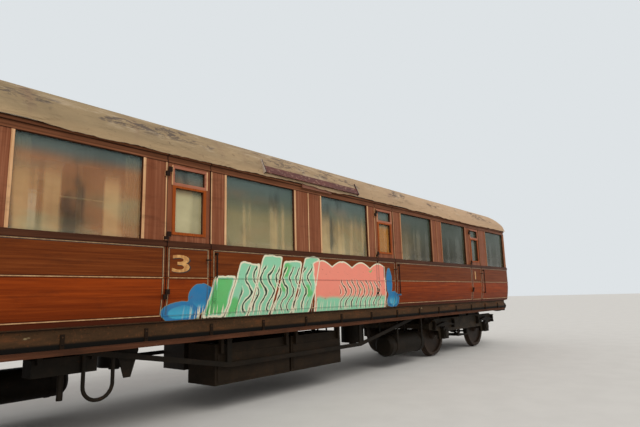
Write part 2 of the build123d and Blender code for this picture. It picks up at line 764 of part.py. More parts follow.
def leaf_outline(x, leaf):
    """One curved leaf of a laminated spring, in the sketch being built."""
    reach = SPRING_REACH * (1 - 0.13 * leaf) + 30 * (leaf == 0)
    foot = SPRING_TOP - LEAF * (leaf + 1)
    tip = foot - 70 * (reach / SPRING_REACH) ** 2
    tip_top = tip + LEAF - 1
    with BuildLine() as edge:
        ThreePointArc((x - reach, tip), (x, foot), (x + reach, tip))
        Line((x + reach, tip), (x + reach, tip_top))
        ThreePointArc((x + reach, tip_top), (x, foot + LEAF), (x - reach, tip_top))
        Line((x - reach, tip_top), (x - reach, tip))
    make_face(edge.edges())


def axlebox_springs():
    """Laminated springs over the axleboxes, with their buckles and hangers."""
    buckle = (AXLEBOX_HEIGHTS[1], SPRING_TOP + 16)
    hanger = (SPRING_TOP - 143, BOGIE_TOP - 55)
    with BuildPart() as springs:
        for side in (-1, 1):
            with BuildSketch(Plane.XZ.offset(-side * SPRING_OUT)) as leaves:
                for x in (-AXLE_X, AXLE_X):
                    for leaf in range(LEAVES):
                        leaf_outline(x, leaf)
                    with Locations((x, (buckle[0] + buckle[1]) / 2)):
                        Rectangle(110, buckle[1] - buckle[0])
                    for end in (x - SPRING_REACH, x + SPRING_REACH):
                        with Locations((end, (hanger[0] + hanger[1]) / 2)):
                            Rectangle(30, hanger[1] - hanger[0])
                        with Locations((end, hanger[0] + 20)):
                            Rectangle(70, 40)
            extrude(leaves.sketch, amount=SPRING_WIDTH / 2, both=True)
    return springs.part


def bolster():
    """Bolster with its centre plate and side bearers, and the plank hung from the transoms."""
    half = BOLSTER / 2
    foot = BOLSTER_TOP - BOLSTER_DEPTH
    reach = PLATE_OUT - 30
    plate = PIVOT_Z - RUNNING_GAP
    link = TRANSOM[0] - 40
    with BuildPart() as beam:
        block((-half, half), (-reach, reach), (foot, BOLSTER_TOP))
        disc(Plane.XY.offset(BOLSTER_TOP), (0, 0), PIVOT_R, plate - BOLSTER_TOP)
        disc(Plane.XY.offset(foot), (0, 0), PIN_R + RUNNING_GAP, plate - foot, mode=Mode.SUBTRACT)
        block((-link, link), (20 - reach, reach - 20), (PLANK_Z, PLANK_Z + PLANK))
        for side in (-1, 1):
            block((-110, 110), (side * 720, side * 880), (BOLSTER_TOP, FRAME_FOOT - RUNNING_GAP))
            bar = (side * (reach - 20), side * (reach - 50))
            for end in (-1, 1):
                block((end * link, end * TRANSOM[0]), bar, (PLANK_Z, PLATE_WAIST + 140))
    return beam.part


def bolster_springs():
    """Coil springs between the plank and the bolster."""
    foot = PLANK_Z + PLANK
    with BuildPart() as springs:
        for x in both([COIL_PLACE[0]]):
            for y in both([COIL_PLACE[1]]):
                disc(Plane.XY.offset(foot), (x, y), COIL_R, BOLSTER_TOP - BOLSTER_DEPTH - foot)
    return springs.part


def brake_gear():
    """Brake blocks on the inner side of each wheel, their hangers, shafts, beams and pull rod."""
    tread = BACK_TO_BACK / 2 + 45
    x = AXLE_X - WHEEL_R - BRAKE_CLEAR - SHOE - 10
    shaft = PLATE_OUT - PLATE / 2
    with BuildPart() as gear:
        for end in (-1, 1):
            disc(Plane.XZ.offset(-shaft), (end * x, BOGIE_TOP - 80), 20, 2 * shaft)
            disc(Plane.XZ.offset(-tread - 64), (end * x, WHEEL_R - 93), 24, 2 * tread + 128)
            for side in (-1, 1):
                hanger = (side * (tread + 25), side * (tread + 55))
                block((end * (x - 18), end * (x + 18)), hanger, (WHEEL_R - 113, BOGIE_TOP - 60))
                with BuildSketch(Plane.XZ.offset(-side * tread)) as shoe:
                    with Locations((end * (x + SHOE / 2 + 5), WHEEL_R - 10)):
                        Rectangle(SHOE + 40, 280)
                    with Locations((end * AXLE_X, WHEEL_R)):
                        Circle(WHEEL_R + BRAKE_CLEAR, mode=Mode.SUBTRACT)
                extrude(shoe.sketch, amount=-side * 78)
        block((-x, x), (-20, 20), (WHEEL_R - 108, WHEEL_R - 78))
    return gear.part


def wheelset():
    """An axle and its two wheels, turned about an axle along Y."""
    back = BACK_TO_BACK / 2
    front = back + WHEEL_WIDTH
    # distance from the centre line and radius, from the journal inwards
    half = (
        (JOURNAL_END, 0),
        (JOURNAL_END, JOURNAL_R),
        (front + 60, JOURNAL_R),
        (front + 14, 140),
        (front - 50, 150),
        (front - 48, 440),
        (front, 455),
        (front, WHEEL_R - 3),
        (back + 36, WHEEL_R),
        (back + 22, WHEEL_R + FLANGE),
        (back + 6, WHEEL_R + FLANGE),
        (back, 455),
        (back + 40, 440),
        (back + 44, 150),
        (back - 28, 140),
        (back - 60, AXLE_R),
    )
    with BuildPart() as wheels:
        with BuildSketch(Plane.YZ) as profile:
            with Locations((0, WHEEL_R)):
                Polygon(*half, *[(-y, r) for y, r in reversed(half)], align=None)
        revolve(profile.sketch, axis=Axis((0, 0, WHEEL_R), (0, 1, 0)))
    return wheels.part


BOGIE_PIECES = (
    ("bogie_frame", bogie_frame()),
    ("axleboxes", axleboxes()),
    ("axlebox_springs", axlebox_springs()),
    ("bolster", bolster()),
    ("bolster_springs", bolster_springs()),
    ("brake_gear", brake_gear()),
)
AXLE = wheelset()
for place, x in (("first", BOGIE_X), ("third", -BOGIE_X)):
    for name, piece in BOGIE_PIECES:
        write(f"{name}_{place}", piece.moved(Location((x, 0, 0))))
    for number, end in ((1, -AXLE_X), (2, AXLE_X)):
        write(f"wheelset_{place}_{number}", AXLE.moved(Location((x + end, 0, 0))))


# Buffers, couplers and gangways

BUFFERS = [(y, BUFFER_Z) for y in both([BUFFER_SPACING / 2])]

with BuildPart() as housings:
    for place in BUFFERS:
        disc(Plane.YZ.offset(FRAME_END), place, 125, 20)
        disc(Plane.YZ.offset(FRAME_END + 20), place, 92, 240)
        disc(Plane.YZ.offset(FRAME_END), place, 60 + RUNNING_GAP, 300, mode=Mode.SUBTRACT)
write("buffer_housings", pair(housings.part))

with BuildPart() as heads:
    for place in BUFFERS:
        disc(Plane.YZ.offset(FRAME_END + 40), place, 60, BUFFER_REACH - 70)
        with BuildSketch(Plane.YZ.offset(FRAME_END + BUFFER_REACH - 30)) as oval:
            with Locations(place):
                Ellipse(290, 165)
        extrude(oval.sketch, amount=30)
write("buffer_heads", pair(heads.part))

with BuildPart() as coupler:
    block((FRAME_END, FRAME_END + 420), (-62, 62), (BUFFER_Z - 60, BUFFER_Z + 60))
    with BuildSketch(Plane.XY.offset(BUFFER_Z - 140)) as jaw:
        with Locations((FRAME_END + 380, 0)):
            Polygon(
                (0, -100),
                (90, -150),
                (260, -170),
                (270, -110),
                (160, -80),
                (150, 20),
                (220, 50),
                (275, 30),
                (260, 120),
                (140, 150),
                (0, 110),
                align=None,
            )
    extrude(jaw.sketch, amount=280)
write("couplers", pair(coupler.part))


def gangway_ring(x, half, thick):
    """A frame round the gangway passage, in the part being built."""
    head = WINDOW_HEAD + half - GANGWAY_HALF
    block((x, x + thick), (-half, half), (FLOOR_TOP - 50, head))
    block((x, x + thick), (-GANGWAY_HALF, GANGWAY_HALF), (FLOOR_TOP, WINDOW_HEAD), mode=Mode.SUBTRACT)


with BuildPart() as bellows:
    for fold in range(GANGWAY_FOLDS):
        half = GANGWAY_HALF + GANGWAY_RIM - 28 * (fold % 2)
        gangway_ring(BELLOWS_START + fold * GANGWAY_FOLD, half, GANGWAY_FOLD)
write("gangway_bellows", pair(bellows.part))

with BuildPart() as face_plate:
    start = BELLOWS_START + GANGWAY_FOLDS * GANGWAY_FOLD
    gangway_ring(start, GANGWAY_HALF + GANGWAY_RIM - 20, FACE_PLATE)
write("gangway_plates", pair(face_plate.part))


# Inside

FULL_HEIGHT = (FLOOR_TOP, CROWN)


def room(low, high):
    """The room's whole cross-section between two values of x, in the part being built."""
    with BuildSketch(Plane.YZ.offset(low)) as outline:
        roof_outline(*ROOF_INSIDE)
        with Locations((0, (FLOOR_TOP + EAVES) / 2)):
            Rectangle(2 * SIDE_IN, EAVES - FLOOR_TOP)
        with Locations((0, (FLOOR_TOP + CROWN) / 2)):
            Rectangle(2 * SIDE_IN, CROWN - FLOOR_TOP, mode=Mode.INTERSECT)
    extrude(outline.sketch, amount=high - low)


with BuildPart() as corridor_partition:
    room(-LAST_WALL, LAST_WALL)
    block((-HALF, HALF), CORRIDOR_WALL, FULL_HEIGHT, mode=Mode.INTERSECT)
    doorway = (FLOOR_TOP, DOORWAY_HEAD)
    for side in (-1, 1):
        lobby = (side * LOBBY_WALL, side * LOBBY_FAR)
        block(lobby, CORRIDOR_WALL, doorway, mode=Mode.SUBTRACT)
    for centre, half in THIRD_CLASS + FIRST_CLASS:
        door = (centre - DOORWAY / 2, centre + DOORWAY / 2)
        block(door, CORRIDOR_WALL, doorway, mode=Mode.SUBTRACT)
        for x in (door[0] - LIGHT - DOOR_POST, door[1] + DOOR_POST):
            block((x, x + LIGHT), CORRIDOR_WALL, (WINDOW_SILL, DOORWAY_HEAD), mode=Mode.SUBTRACT)
    # panels below the lights, the posts on them, and the header over all of it are separate pieces
    for rail in (WINDOW_SILL, DOORWAY_HEAD):
        split(bisect_by=Plane.XY.offset(rail), keep=Keep.BOTH)
write("corridor_partition", corridor_partition.part)

with BuildPart() as cross_partitions:
    for x in (0, *both([LOBBY_WALL, LOBBY_FAR, MIDDLE_WALL, LAST_WALL])):
        room(x - PARTITION / 2, x + PARTITION / 2)
    block((-HALF, HALF), (CORRIDOR_WALL[1], SIDE_IN), FULL_HEIGHT, mode=Mode.INTERSECT)
write("cross_partitions", cross_partitions.part)


def bench_frames(rooms):
    """Wooden boxes under both facing benches of each compartment."""
    with BuildPart() as frames:
        for centre, half in rooms:
            for side in (-1, 1):
                wall = centre + side * half
                front = wall - side * (SEAT_DEPTH - 40)
                block((wall, front), (CORRIDOR_WALL[1], SIDE_IN), (FLOOR_TOP, SEAT_TOP - CUSHION))
    return frames.part


def bench_cushions(rooms):
    """Seat and back cushions of both facing benches of each compartment."""
    across = (CORRIDOR_WALL[1] + SOFT_GAP, SIDE_IN - SOFT_GAP)
    seat = (SEAT_TOP - CUSHION + RUNNING_GAP, SEAT_TOP)
    back = (SEAT_TOP + RUNNING_GAP, SEAT_BACK_TOP)
    with BuildPart() as cushions:
        for centre, half in rooms:
            for side in (-1, 1):
                wall = centre + side * half
                start = wall - side * RUNNING_GAP
                block((start, wall - side * SEAT_DEPTH), across, seat)
                block((start, wall - side * SEAT_BACK), across, back)
    return cushions.part


write("seat_frames", bench_frames(THIRD_CLASS + FIRST_CLASS))
write("seats_third", bench_cushions(THIRD_CLASS))
write("seats_first", bench_cushions(FIRST_CLASS))
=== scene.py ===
"""Looks of a bow-ended teak railway coach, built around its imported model.

Metres, in the model's frame: +X along the coach, the near side with the corridor faces -Y, and the rails'
top is RAIL above the floor. h stands for a height above the rails.
"""

import json
import random
from functools import reduce
from math import cos, exp, pi, radians, sin, sqrt

import bmesh
import bpy
from mathutils import Matrix, Vector
from mathutils.bvhtree import BVHTree


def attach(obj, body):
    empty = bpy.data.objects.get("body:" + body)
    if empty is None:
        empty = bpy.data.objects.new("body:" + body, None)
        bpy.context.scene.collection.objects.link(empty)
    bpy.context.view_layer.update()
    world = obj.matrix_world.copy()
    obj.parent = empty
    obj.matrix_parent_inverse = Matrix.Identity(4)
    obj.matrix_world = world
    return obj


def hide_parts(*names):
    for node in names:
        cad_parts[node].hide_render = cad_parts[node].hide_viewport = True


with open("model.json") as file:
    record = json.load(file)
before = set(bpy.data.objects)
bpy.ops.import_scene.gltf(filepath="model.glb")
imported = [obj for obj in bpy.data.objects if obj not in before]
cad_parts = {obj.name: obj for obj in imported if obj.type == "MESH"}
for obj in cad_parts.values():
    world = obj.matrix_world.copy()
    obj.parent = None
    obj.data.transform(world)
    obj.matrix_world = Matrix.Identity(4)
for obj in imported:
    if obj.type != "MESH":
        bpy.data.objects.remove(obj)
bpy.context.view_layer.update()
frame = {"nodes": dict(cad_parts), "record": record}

RAIL = 0.028
SIDE_OUT, PANEL_OUT, SILL_OUT, SIDE_IN = 1.372, 1.355, 1.310, 1.262
BODY_FOOT, TURN_TOP, SILL, HEAD, EAVES = 1.245, 1.760, 2.210, 3.200, 3.330
TURN_R = ((TURN_TOP - BODY_FOOT) ** 2 + (SIDE_OUT - SILL_OUT) ** 2) / (2 * (SIDE_OUT - SILL_OUT))
CORNER = 9.2725
DOORS = (-6.910, -2.350, 2.350, 6.910)
DOOR_HALF = 0.330
WINDOWS = (-8.4545, -5.6375, -3.7165, -1.0425, 1.0425, 3.7165, 5.6375, 8.4545)
WINDOW_HALF = 0.6985
BOGIES = {"first": 6.553, "third": -6.553}
BOARD_MIDDLE, BOARD_HALF = 0.140, 1.200


def placed(name, data, body=None):
    """A new object in the scene, which rides on a body if it is part of the coach."""
    piece = bpy.data.objects.new(name, data)
    bpy.context.scene.collection.objects.link(piece)
    if body:
        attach(piece, body)
    return piece


# Camera


def place_camera():
    yaw, pitch, roll = 0.685397, 0.167385, -0.0273996
    ahead = Vector((cos(yaw) * cos(pitch), sin(yaw) * cos(pitch), sin(pitch)))
    level = Vector((sin(yaw), -cos(yaw), 0))
    above = level.cross(ahead)
    right = level * cos(roll) + above * sin(roll)
    up = above * cos(roll) - level * sin(roll)
    eye = Vector((-6.1223, -6.6164, 1.4814 + RAIL))
    camera = placed("camera", bpy.data.cameras.new("camera"))
    camera.matrix_world = Matrix([(right[i], up[i], -ahead[i], eye[i]) for i in range(3)] + [(0, 0, 0, 1)])
    camera.data.lens = 27.70
    camera.data.sensor_width = 36
    camera.data.clip_end = 300
    bpy.context.scene.camera = camera


place_camera()


# Materials


def rgb(r, g, b):
    """A linear colour from 0 to 255 values."""
    shares = (r / 255, g / 255, b / 255)
    return tuple(c / 12.92 if c <= 0.04045 else ((c + 0.055) / 1.055) ** 2.4 for c in shares) + (1,)


class Graph:
    """Nodes of a material or group, written as expressions."""

    def __init__(self, tree):
        self.tree = tree
        self.place = self.node("ShaderNodeTexCoord").outputs["Object"]
        self.x, self.y, self.z = self.parts(self.place)
        self.h = self.math("SUBTRACT", self.z, RAIL)

    def put(self, socket, value):
        if isinstance(value, bpy.types.NodeSocket):
            self.tree.links.new(value, socket)
        elif value is not None:
            socket.default_value = value

    def node(self, kind, *inputs, settings=None, **named):
        made = self.tree.nodes.new(kind)
        for key, value in (settings or {}).items():
            setattr(made, key, value)
        for socket, value in zip(made.inputs, inputs):
            self.put(socket, value)
        for key, value in named.items():
            self.put(made.inputs[key.replace("_", " ")], value)
        return made

    def math(self, operation, a, b=None, c=None, clamp=False):
        settings = {"operation": operation, "use_clamp": clamp}
        return self.node("ShaderNodeMath", a, b, c, settings=settings).outputs[0]

    def vector(self, operation, *inputs):
        return self.node("ShaderNodeVectorMath", *inputs, settings={"operation": operation}).outputs

    def parts(self, v):
        return self.node("ShaderNodeSeparateXYZ", v).outputs

    def size(self, v):
        return self.math("ABSOLUTE", v)

    def plus(self, a, b, clamp=False):
        return self.math("ADD", a, b, clamp=clamp)

    def minus(self, a, b):
        return self.math("SUBTRACT", a, b)

    def times(self, *values):
        return reduce(lambda a, b: self.math("MULTIPLY", a, b), values)

    def wave(self, v, rate):
        return self.math("SINE", self.times(v, rate))

    def noise(self, stretch, detail=4.0, rough=0.55, twist=0.0):
        """Noise from 0 to 1; stretch is its frequency along each axis."""
        at = self.vector("MULTIPLY", self.place, stretch)[0]
        sockets = {"Vector": at, "Scale": 1.0, "Detail": detail, "Roughness": rough, "Distortion": twist}
        return self.node("ShaderNodeTexNoise", **sockets).outputs[0]

    def rise(self, v, start, end):
        """0 below start, 1 above end, smooth between; start may be above end."""
        settings = {"interpolation_type": "SMOOTHSTEP"}
        return self.node("ShaderNodeMapRange", v, start, end, 0.0, 1.0, settings=settings).outputs[0]

    def spots(self, stretch, start, end, **kind):
        return self.rise(self.noise(stretch, **kind), start, end)

    def band(self, v, low, high, soft=0.003):
        """1 between low and high."""
        return self.times(self.rise(v, low - soft, low + soft), self.rise(v, high + soft, high - soft))

    def mix(self, factor, a, b):
        made = self.node("ShaderNodeMix", settings={"data_type": "RGBA"})
        for socket, value in zip([made.inputs[0], made.inputs[6], made.inputs[7]], (factor, a, b)):
            self.put(socket, value)
        return made.outputs[2]

    def tint(self, colour, shade, *shares):
        """A colour covered by a shade, as far as the product of the shares."""
        return self.mix(self.times(*shares), colour, shade)

    def over(self, shade, *shares):
        """Tints the colour that the graph has so far."""
        self.colour = self.tint(self.colour, shade, *shares)

    def ramp(self, factor, *stops):
        """Colour by a value: stops are (place, red, green, blue)."""
        made = self.node("ShaderNodeValToRGB", factor)
        elements = made.color_ramp.elements
        while len(elements) < len(stops):
            elements.new(0.5)
        for element, (place, *colour) in zip(elements, stops):
            element.position, element.color = place, rgb(*colour)
        return made.outputs[0]

    def bump(self, height, distance, strength, normal=None):
        made = self.node("ShaderNodeBump", Strength=strength, Distance=distance, Height=height, Normal=normal)
        return made.outputs[0]

    def turned(self, vector, source, target):
        settings = {"vector_type": "NORMAL", "convert_from": source, "convert_to": target}
        return self.node("ShaderNodeVectorTransform", vector, settings=settings).outputs[0]


def material(name):
    """A new material's graph and its shader."""
    made = bpy.data.materials.new(name)
    made.use_nodes = True
    made.node_tree.nodes.clear()
    graph = Graph(made.node_tree)
    shader = graph.node("ShaderNodeBsdfPrincipled")
    output = graph.node("ShaderNodeOutputMaterial")
    graph.tree.links.new(shader.outputs[0], output.inputs[0])
    graph.made, graph.shader, graph.output = made, shader, output
    return graph


def finish(graph, colour, roughness, normal=None, gloss=None, **named):
    sockets = {"Base Color": colour, "Roughness": roughness, "Normal": normal, "Specular IOR Level": gloss}
    for key, value in [*sockets.items(), *named.items()]:
        graph.put(graph.shader.inputs[key.replace("_", " ")], value)
    return graph.made


def spray_paint():
    """A group with the paint that was sprayed on the near side: its colour and where it is."""
    tree = bpy.data.node_groups.new("sprayed_shapes", "ShaderNodeTree")
    tree.interface.new_socket("Colour", in_out="OUTPUT", socket_type="NodeSocketColor")
    tree.interface.new_socket("Mask", in_out="OUTPUT", socket_type="NodeSocketFloat")
    g = Graph(tree)
    sway = g.times(g.minus(g.noise((3, 0, 3), detail=3), 0.5), 0.11)
    fine = g.times(g.minus(g.noise((40, 0, 40), detail=2), 0.5), 0.012)
    shift = g.plus(sway, fine)
    at = g.node("ShaderNodeCombineXYZ", g.plus(g.x, shift), g.plus(g.h, shift), 0.0).outputs[0]

    def blob(cx, ch, rx, rh):
        """Distance outside an ellipse, negative inside it."""
        unit = g.vector("MULTIPLY", g.vector("SUBTRACT", at, (cx, ch, 0))[0], (1 / rx, 1 / rh, 0))[0]
        length = g.vector("LENGTH", unit)[1]
        return g.times(g.minus(length, 1.0), min(rx, rh))

    def bar(cx, ch, rx, rh, lean):
        """Distance outside an upright bar that leans over, negative inside it."""
        away_h = g.minus(height, ch)
        away_x = g.minus(g.minus(along, cx), g.times(away_h, lean))
        across = g.minus(g.size(away_x), rx)
        return g.math("SMOOTH_MAX", across, g.minus(g.size(away_h), rh), 0.09)

    def union(places, blend=0.03):
        joined = places[0]
        for place in places[1:]:
            joined = g.math("SMOOTH_MIN", joined, place, blend)
        return joined

    along, height = g.plus(g.x, shift), g.plus(g.h, shift)
    blue, cyan, mint = rgb(10, 116, 172), rgb(52, 168, 204), rgb(140, 208, 172)
    green, pink, cream, dark = rgb(96, 190, 112), rgb(240, 142, 124), rgb(232, 226, 200), rgb(42, 38, 34)
    g.colour, g.mask = mint, 0.0

    def paint(colour, *shares):
        mask = g.times(*shares)
        g.over(colour, mask)
        g.mask = g.math("MAXIMUM", g.mask, mask)

    def inside(distance, by=0.0, soft=0.006):
        return g.rise(distance, by + soft, by - soft)

    def edge(distance):
        return g.rise(g.size(distance), 0.016, 0.008)

    # blue clouds at both ends: x, height, half width and half height of each ellipse
    clouds = (((-2.42, 1.34, 0.30, 0.13), (-2.14, 1.52, 0.20, 0.18)),
              ((2.60, 1.38, 0.24, 0.16), (2.42, 1.74, 0.11, 0.28)))
    for cloud in clouds:
        away = union([blob(*place) for place in cloud], 0.05)
        paint(blue, inside(away))
        paint(cyan, inside(away, -0.05), g.rise(g.h, 1.50, 1.30))
    # a row of leaning bars, mint and green, with dark waves in them
    lean = 0.30
    bars = ((-1.84, 1.52, 0.17, 0.26), (-1.42, 1.60, 0.19, 0.38), (-0.98, 1.64, 0.20, 0.46),
            (-0.52, 1.62, 0.20, 0.42), (-0.06, 1.66, 0.19, 0.45))
    row = union([bar(*place, lean) for place in bars])
    paint(mint, inside(row))
    paint(green, inside(bar(*bars[0], lean), -0.03))
    paint(green, inside(row, -0.02), g.spots((2.2, 0, 2.2), 0.56, 0.62, detail=2))
    # a wide field with a scalloped top
    scallop = g.times(g.size(g.wave(g.x, 5.4)), 0.10)
    field = g.math("MAXIMUM", bar(1.20, 1.56, 1.08, 0.52, -0.10), g.minus(g.minus(g.h, scallop), 1.98))
    paint(pink, inside(field))
    paint(mint, inside(field, -0.03), g.rise(g.plus(g.h, sway), 1.50, 1.42))
    lobes = g.times(inside(field, -0.05), g.spots((3.1, 0, 2.4), 0.60, 0.64, detail=1))
    paint(green, lobes, g.rise(g.h, 1.55, 1.65))
    # dark waves with pale edges
    wave = g.plus(g.times(g.wave(g.h, 15.0), 1.2), g.times(sway, 40.0))
    turn = g.size(g.math("SINE", g.plus(g.times(g.x, 21.0), wave)))
    stripes = g.rise(turn, 0.34, 0.20)
    light = g.times(g.rise(turn, 0.34, 0.42), g.rise(turn, 0.72, 0.60))
    for place in (bar(-0.72, 1.62, 0.74, 0.33, lean), bar(1.46, 1.52, 0.66, 0.24, -0.10)):
        reach = inside(place, 0.0, 0.03)
        paint(cream, reach, light)
        paint(dark, reach, stripes)
    paint(cream, edge(row))
    paint(cream, edge(field))
    # drips below the clouds
    drips = g.times(g.spots((42, 0, 1.3), 0.60, 0.66, detail=0), g.band(g.h, 1.25, 1.40, 0.04))
    paint(cream, drips, g.band(g.x, -2.3, 2.6, 0.2))
    # paint reached only the near side, below the windows, and is thin where it was scrubbed
    worn = g.spots((9, 0, 14), 0.28, 0.40, detail=5, rough=0.7)
    limits = g.times(g.rise(g.y, -1.0, -1.2), g.band(g.h, 1.243, 2.205, 0.003))
    output = g.node("NodeGroupOutput")
    g.put(output.inputs["Colour"], g.tint(g.colour, rgb(150, 140, 120), g.noise((6, 0, 6)), 0.22))
    g.put(output.inputs["Mask"], g.times(g.mask, worn, limits))
    return tree


SPRAY = spray_paint()


def sprayed(g, colour):
    """A colour with the sprayed paint over it, and the paint's place."""
    group = g.node("ShaderNodeGroup", settings={"node_tree": SPRAY})
    return g.mix(group.outputs["Mask"], colour, group.outputs["Colour"]), group.outputs["Mask"]


def turn_under(g, own):
    """The side's normal as a smooth curve below TURN_TOP, where the model's mesh has a few flat strips."""
    way = g.math("SIGN", g.y)
    down = g.math("MAXIMUM", g.math("DIVIDE", g.minus(TURN_TOP, g.h), TURN_R), 0.0)
    level = g.math("SQRT", g.minus(1.0, g.times(down, down)))
    curve = g.node("ShaderNodeCombineXYZ", 0.0, g.times(way, level), g.times(down, -1.0)).outputs[0]
    facing = g.rise(g.times(g.parts(own)[1], way), 0.90, 0.94)
    return g.turned(g.mix(facing, own, curve), "OBJECT", "WORLD")


BEAD_EDGES = (1.294, 1.318, 1.746, 1.770)
UPPER_JOINTS = (2.137, 3.202, 3.232, 3.281)
END_BOARDS = 8.4  # upright boards in a metre


def teak():
    """Lower panels, waist, window posts and frieze, in order up the side, with boarded ends."""
    g = material("varnished_teak")
    along = g.noise((1.1, 1.1, 46), detail=6, rough=0.62, twist=0.5)
    boards = g.noise((0.5, 0.5, 5.5), detail=3, rough=0.6)
    upright = g.noise((44, 44, 1.3), detail=6, rough=0.62, twist=0.4)
    broad = g.noise((7, 7, 0.5), detail=3)
    lower = g.ramp(along, (0.22, 92, 33, 8), (0.5, 124, 50, 14), (0.78, 158, 72, 24))
    lower = g.tint(lower, rgb(156, 66, 18), g.rise(boards, 0.42, 0.72), 0.6)
    lower = g.tint(lower, rgb(84, 34, 12), g.rise(g.h, 1.56, 1.36), 0.35)
    waist = g.ramp(along, (0.25, 84, 36, 14), (0.55, 110, 54, 22), (0.8, 134, 72, 34))
    upper = g.ramp(upright, (0.22, 100, 54, 37), (0.5, 132, 81, 57), (0.78, 162, 109, 81))
    upper = g.tint(upper, rgb(118, 66, 42), g.rise(broad, 0.40, 0.75), 0.7)
    frieze = g.ramp(along, (0.25, 96, 58, 38), (0.6, 132, 84, 58), (0.85, 152, 104, 76))
    g.colour = g.mix(g.rise(g.h, 1.752, 1.760), lower, waist)
    g.over(upper, g.rise(g.h, 2.203, 2.213))
    g.over(frieze, g.rise(g.h, 3.198, 3.206))
    out = g.size(g.y)
    # beads round the windows, pale with a painted highlight, paler towards the third-class end, and the dark
    # moulding under them
    bead = g.times(g.rise(out, PANEL_OUT + 0.003, PANEL_OUT + 0.006), g.band(g.h, 2.214, 3.196, 0.002))
    # painted highlight: the beads' pale colour, fading to red-brown towards the first-class end
    pale = g.ramp(upright, (0.3, 184, 134, 92), (0.7, 224, 184, 142))
    pale = g.tint(pale, rgb(138, 78, 48), g.rise(g.x, 1.0, 4.0), 0.7)
    g.over(pale, bead)
    moulding = g.band(g.h, 2.140, 2.212, 0.004)
    g.over(g.ramp(along, (0.3, 46, 28, 20), (0.7, 78, 50, 36)), moulding, 0.88)
    # orange frames of the droplights, pink ones of the ventilators
    for centre in DOORS:
        across = g.size(g.minus(g.x, centre))
        light = g.times(g.rise(across, 0.263, 0.257), g.rise(out, PANEL_OUT + 0.002, PANEL_OUT + 0.005))
        orange = g.times(light, g.band(g.h, 2.285, 2.918))
        pinkish = g.times(light, g.rise(g.h, 2.915, 2.921), g.rise(g.h, 3.196, 3.19))
        g.over(g.ramp(upright, (0.3, 128, 58, 20), (0.7, 164, 84, 36)), orange)
        g.over(g.ramp(along, (0.3, 136, 80, 62), (0.7, 176, 116, 92)), pinkish)
        jamb = g.rise(g.size(g.minus(across, DOOR_HALF + 0.003)), 0.014, 0.004)
        g.over(rgb(34, 20, 14), jamb, 0.8)
    # shade under the mouldings, dark lines along the edges of the upper mouldings, soot, dirt at the foot
    for height in BEAD_EDGES:
        g.over(rgb(36, 20, 13), g.band(g.h, height - 0.004, height + 0.004, 0.004), 0.75)
    for height in UPPER_JOINTS:
        g.over(rgb(30, 18, 14), g.band(g.h, height - 0.003, height + 0.003, 0.004), 0.8)
    soot = g.times(g.spots((2.4, 2.4, 9), 0.5, 0.78, detail=6, rough=0.7), 0.35)
    g.over(rgb(46, 26, 18), soot)
    foot = g.times(g.rise(g.h, 1.32, 1.25), g.noise((5, 5, 12), detail=5))
    g.over(rgb(54, 34, 22), foot)
    g.over(rgb(62, 26, 16), g.rise(g.h, 1.296, 1.288), 0.7)
    upper_hinge = g.times(g.rise(out, PANEL_OUT + 0.015, PANEL_OUT + 0.018), g.band(g.h, 2.216, 3.198))
    lower_hinge = g.times(g.rise(out, SIDE_OUT + 0.008, SIDE_OUT + 0.011), g.rise(g.h, 2.13, 2.12))
    g.over(rgb(40, 28, 22), g.plus(upper_hinge, lower_hinge, clamp=True))
    # painted shadow of the canvas's hanging edge along the top of the cornice
    g.over(rgb(34, 24, 19), g.rise(g.h, 3.298, 3.322), 0.85)
    # painted shade on the edges of the window openings, and pale wood inside
    reveal = g.times(g.rise(out, PANEL_OUT - 0.004, PANEL_OUT - 0.010),
                     g.rise(out, SIDE_IN + 0.004, SIDE_IN + 0.012), g.rise(g.h, SILL - 0.010, SILL - 0.004))
    g.over(rgb(26, 18, 14), reveal, 0.8)
    own = g.turned(g.node("ShaderNodeNewGeometry").outputs["True Normal"], "WORLD", "OBJECT")
    ahead = g.times(g.parts(own)[0], g.math("SIGN", g.x))
    end = g.times(g.rise(ahead, 0.2, 0.4), g.rise(g.size(g.x), 9.20, 9.25))
    inner = g.times(g.rise(out, SIDE_IN + 0.006, SIDE_IN + 0.001), g.minus(1.0, end))
    g.over(g.ramp(upright, (0.3, 170, 116, 72), (0.7, 206, 152, 102)), inner)
    # upright boards of the ends
    groove = g.size(g.minus(g.math("FRACT", g.times(g.y, END_BOARDS)), 0.5))
    boarded = g.ramp(upright, (0.22, 104, 50, 22), (0.5, 138, 72, 34), (0.78, 168, 98, 52))
    boarded = g.mix(g.rise(groove, 0.035, 0.015), boarded, rgb(40, 20, 12))
    boarded = g.tint(boarded, rgb(44, 28, 20), soot, 1.4)
    g.over(boarded, end)
    g.colour, paint = sprayed(g, g.colour)
    grain = g.mix(g.rise(g.h, 2.2, 2.22), along, upright)
    rough = g.plus(0.30, g.times(boards, 0.18))
    rough = g.plus(rough, g.times(paint, 0.25))
    normal = g.bump(grain, 0.0006, 0.35, turn_under(g, own))
    return finish(g, g.colour, rough, normal, gloss=0.03, Coat_Weight=0.03, Coat_Roughness=0.15)


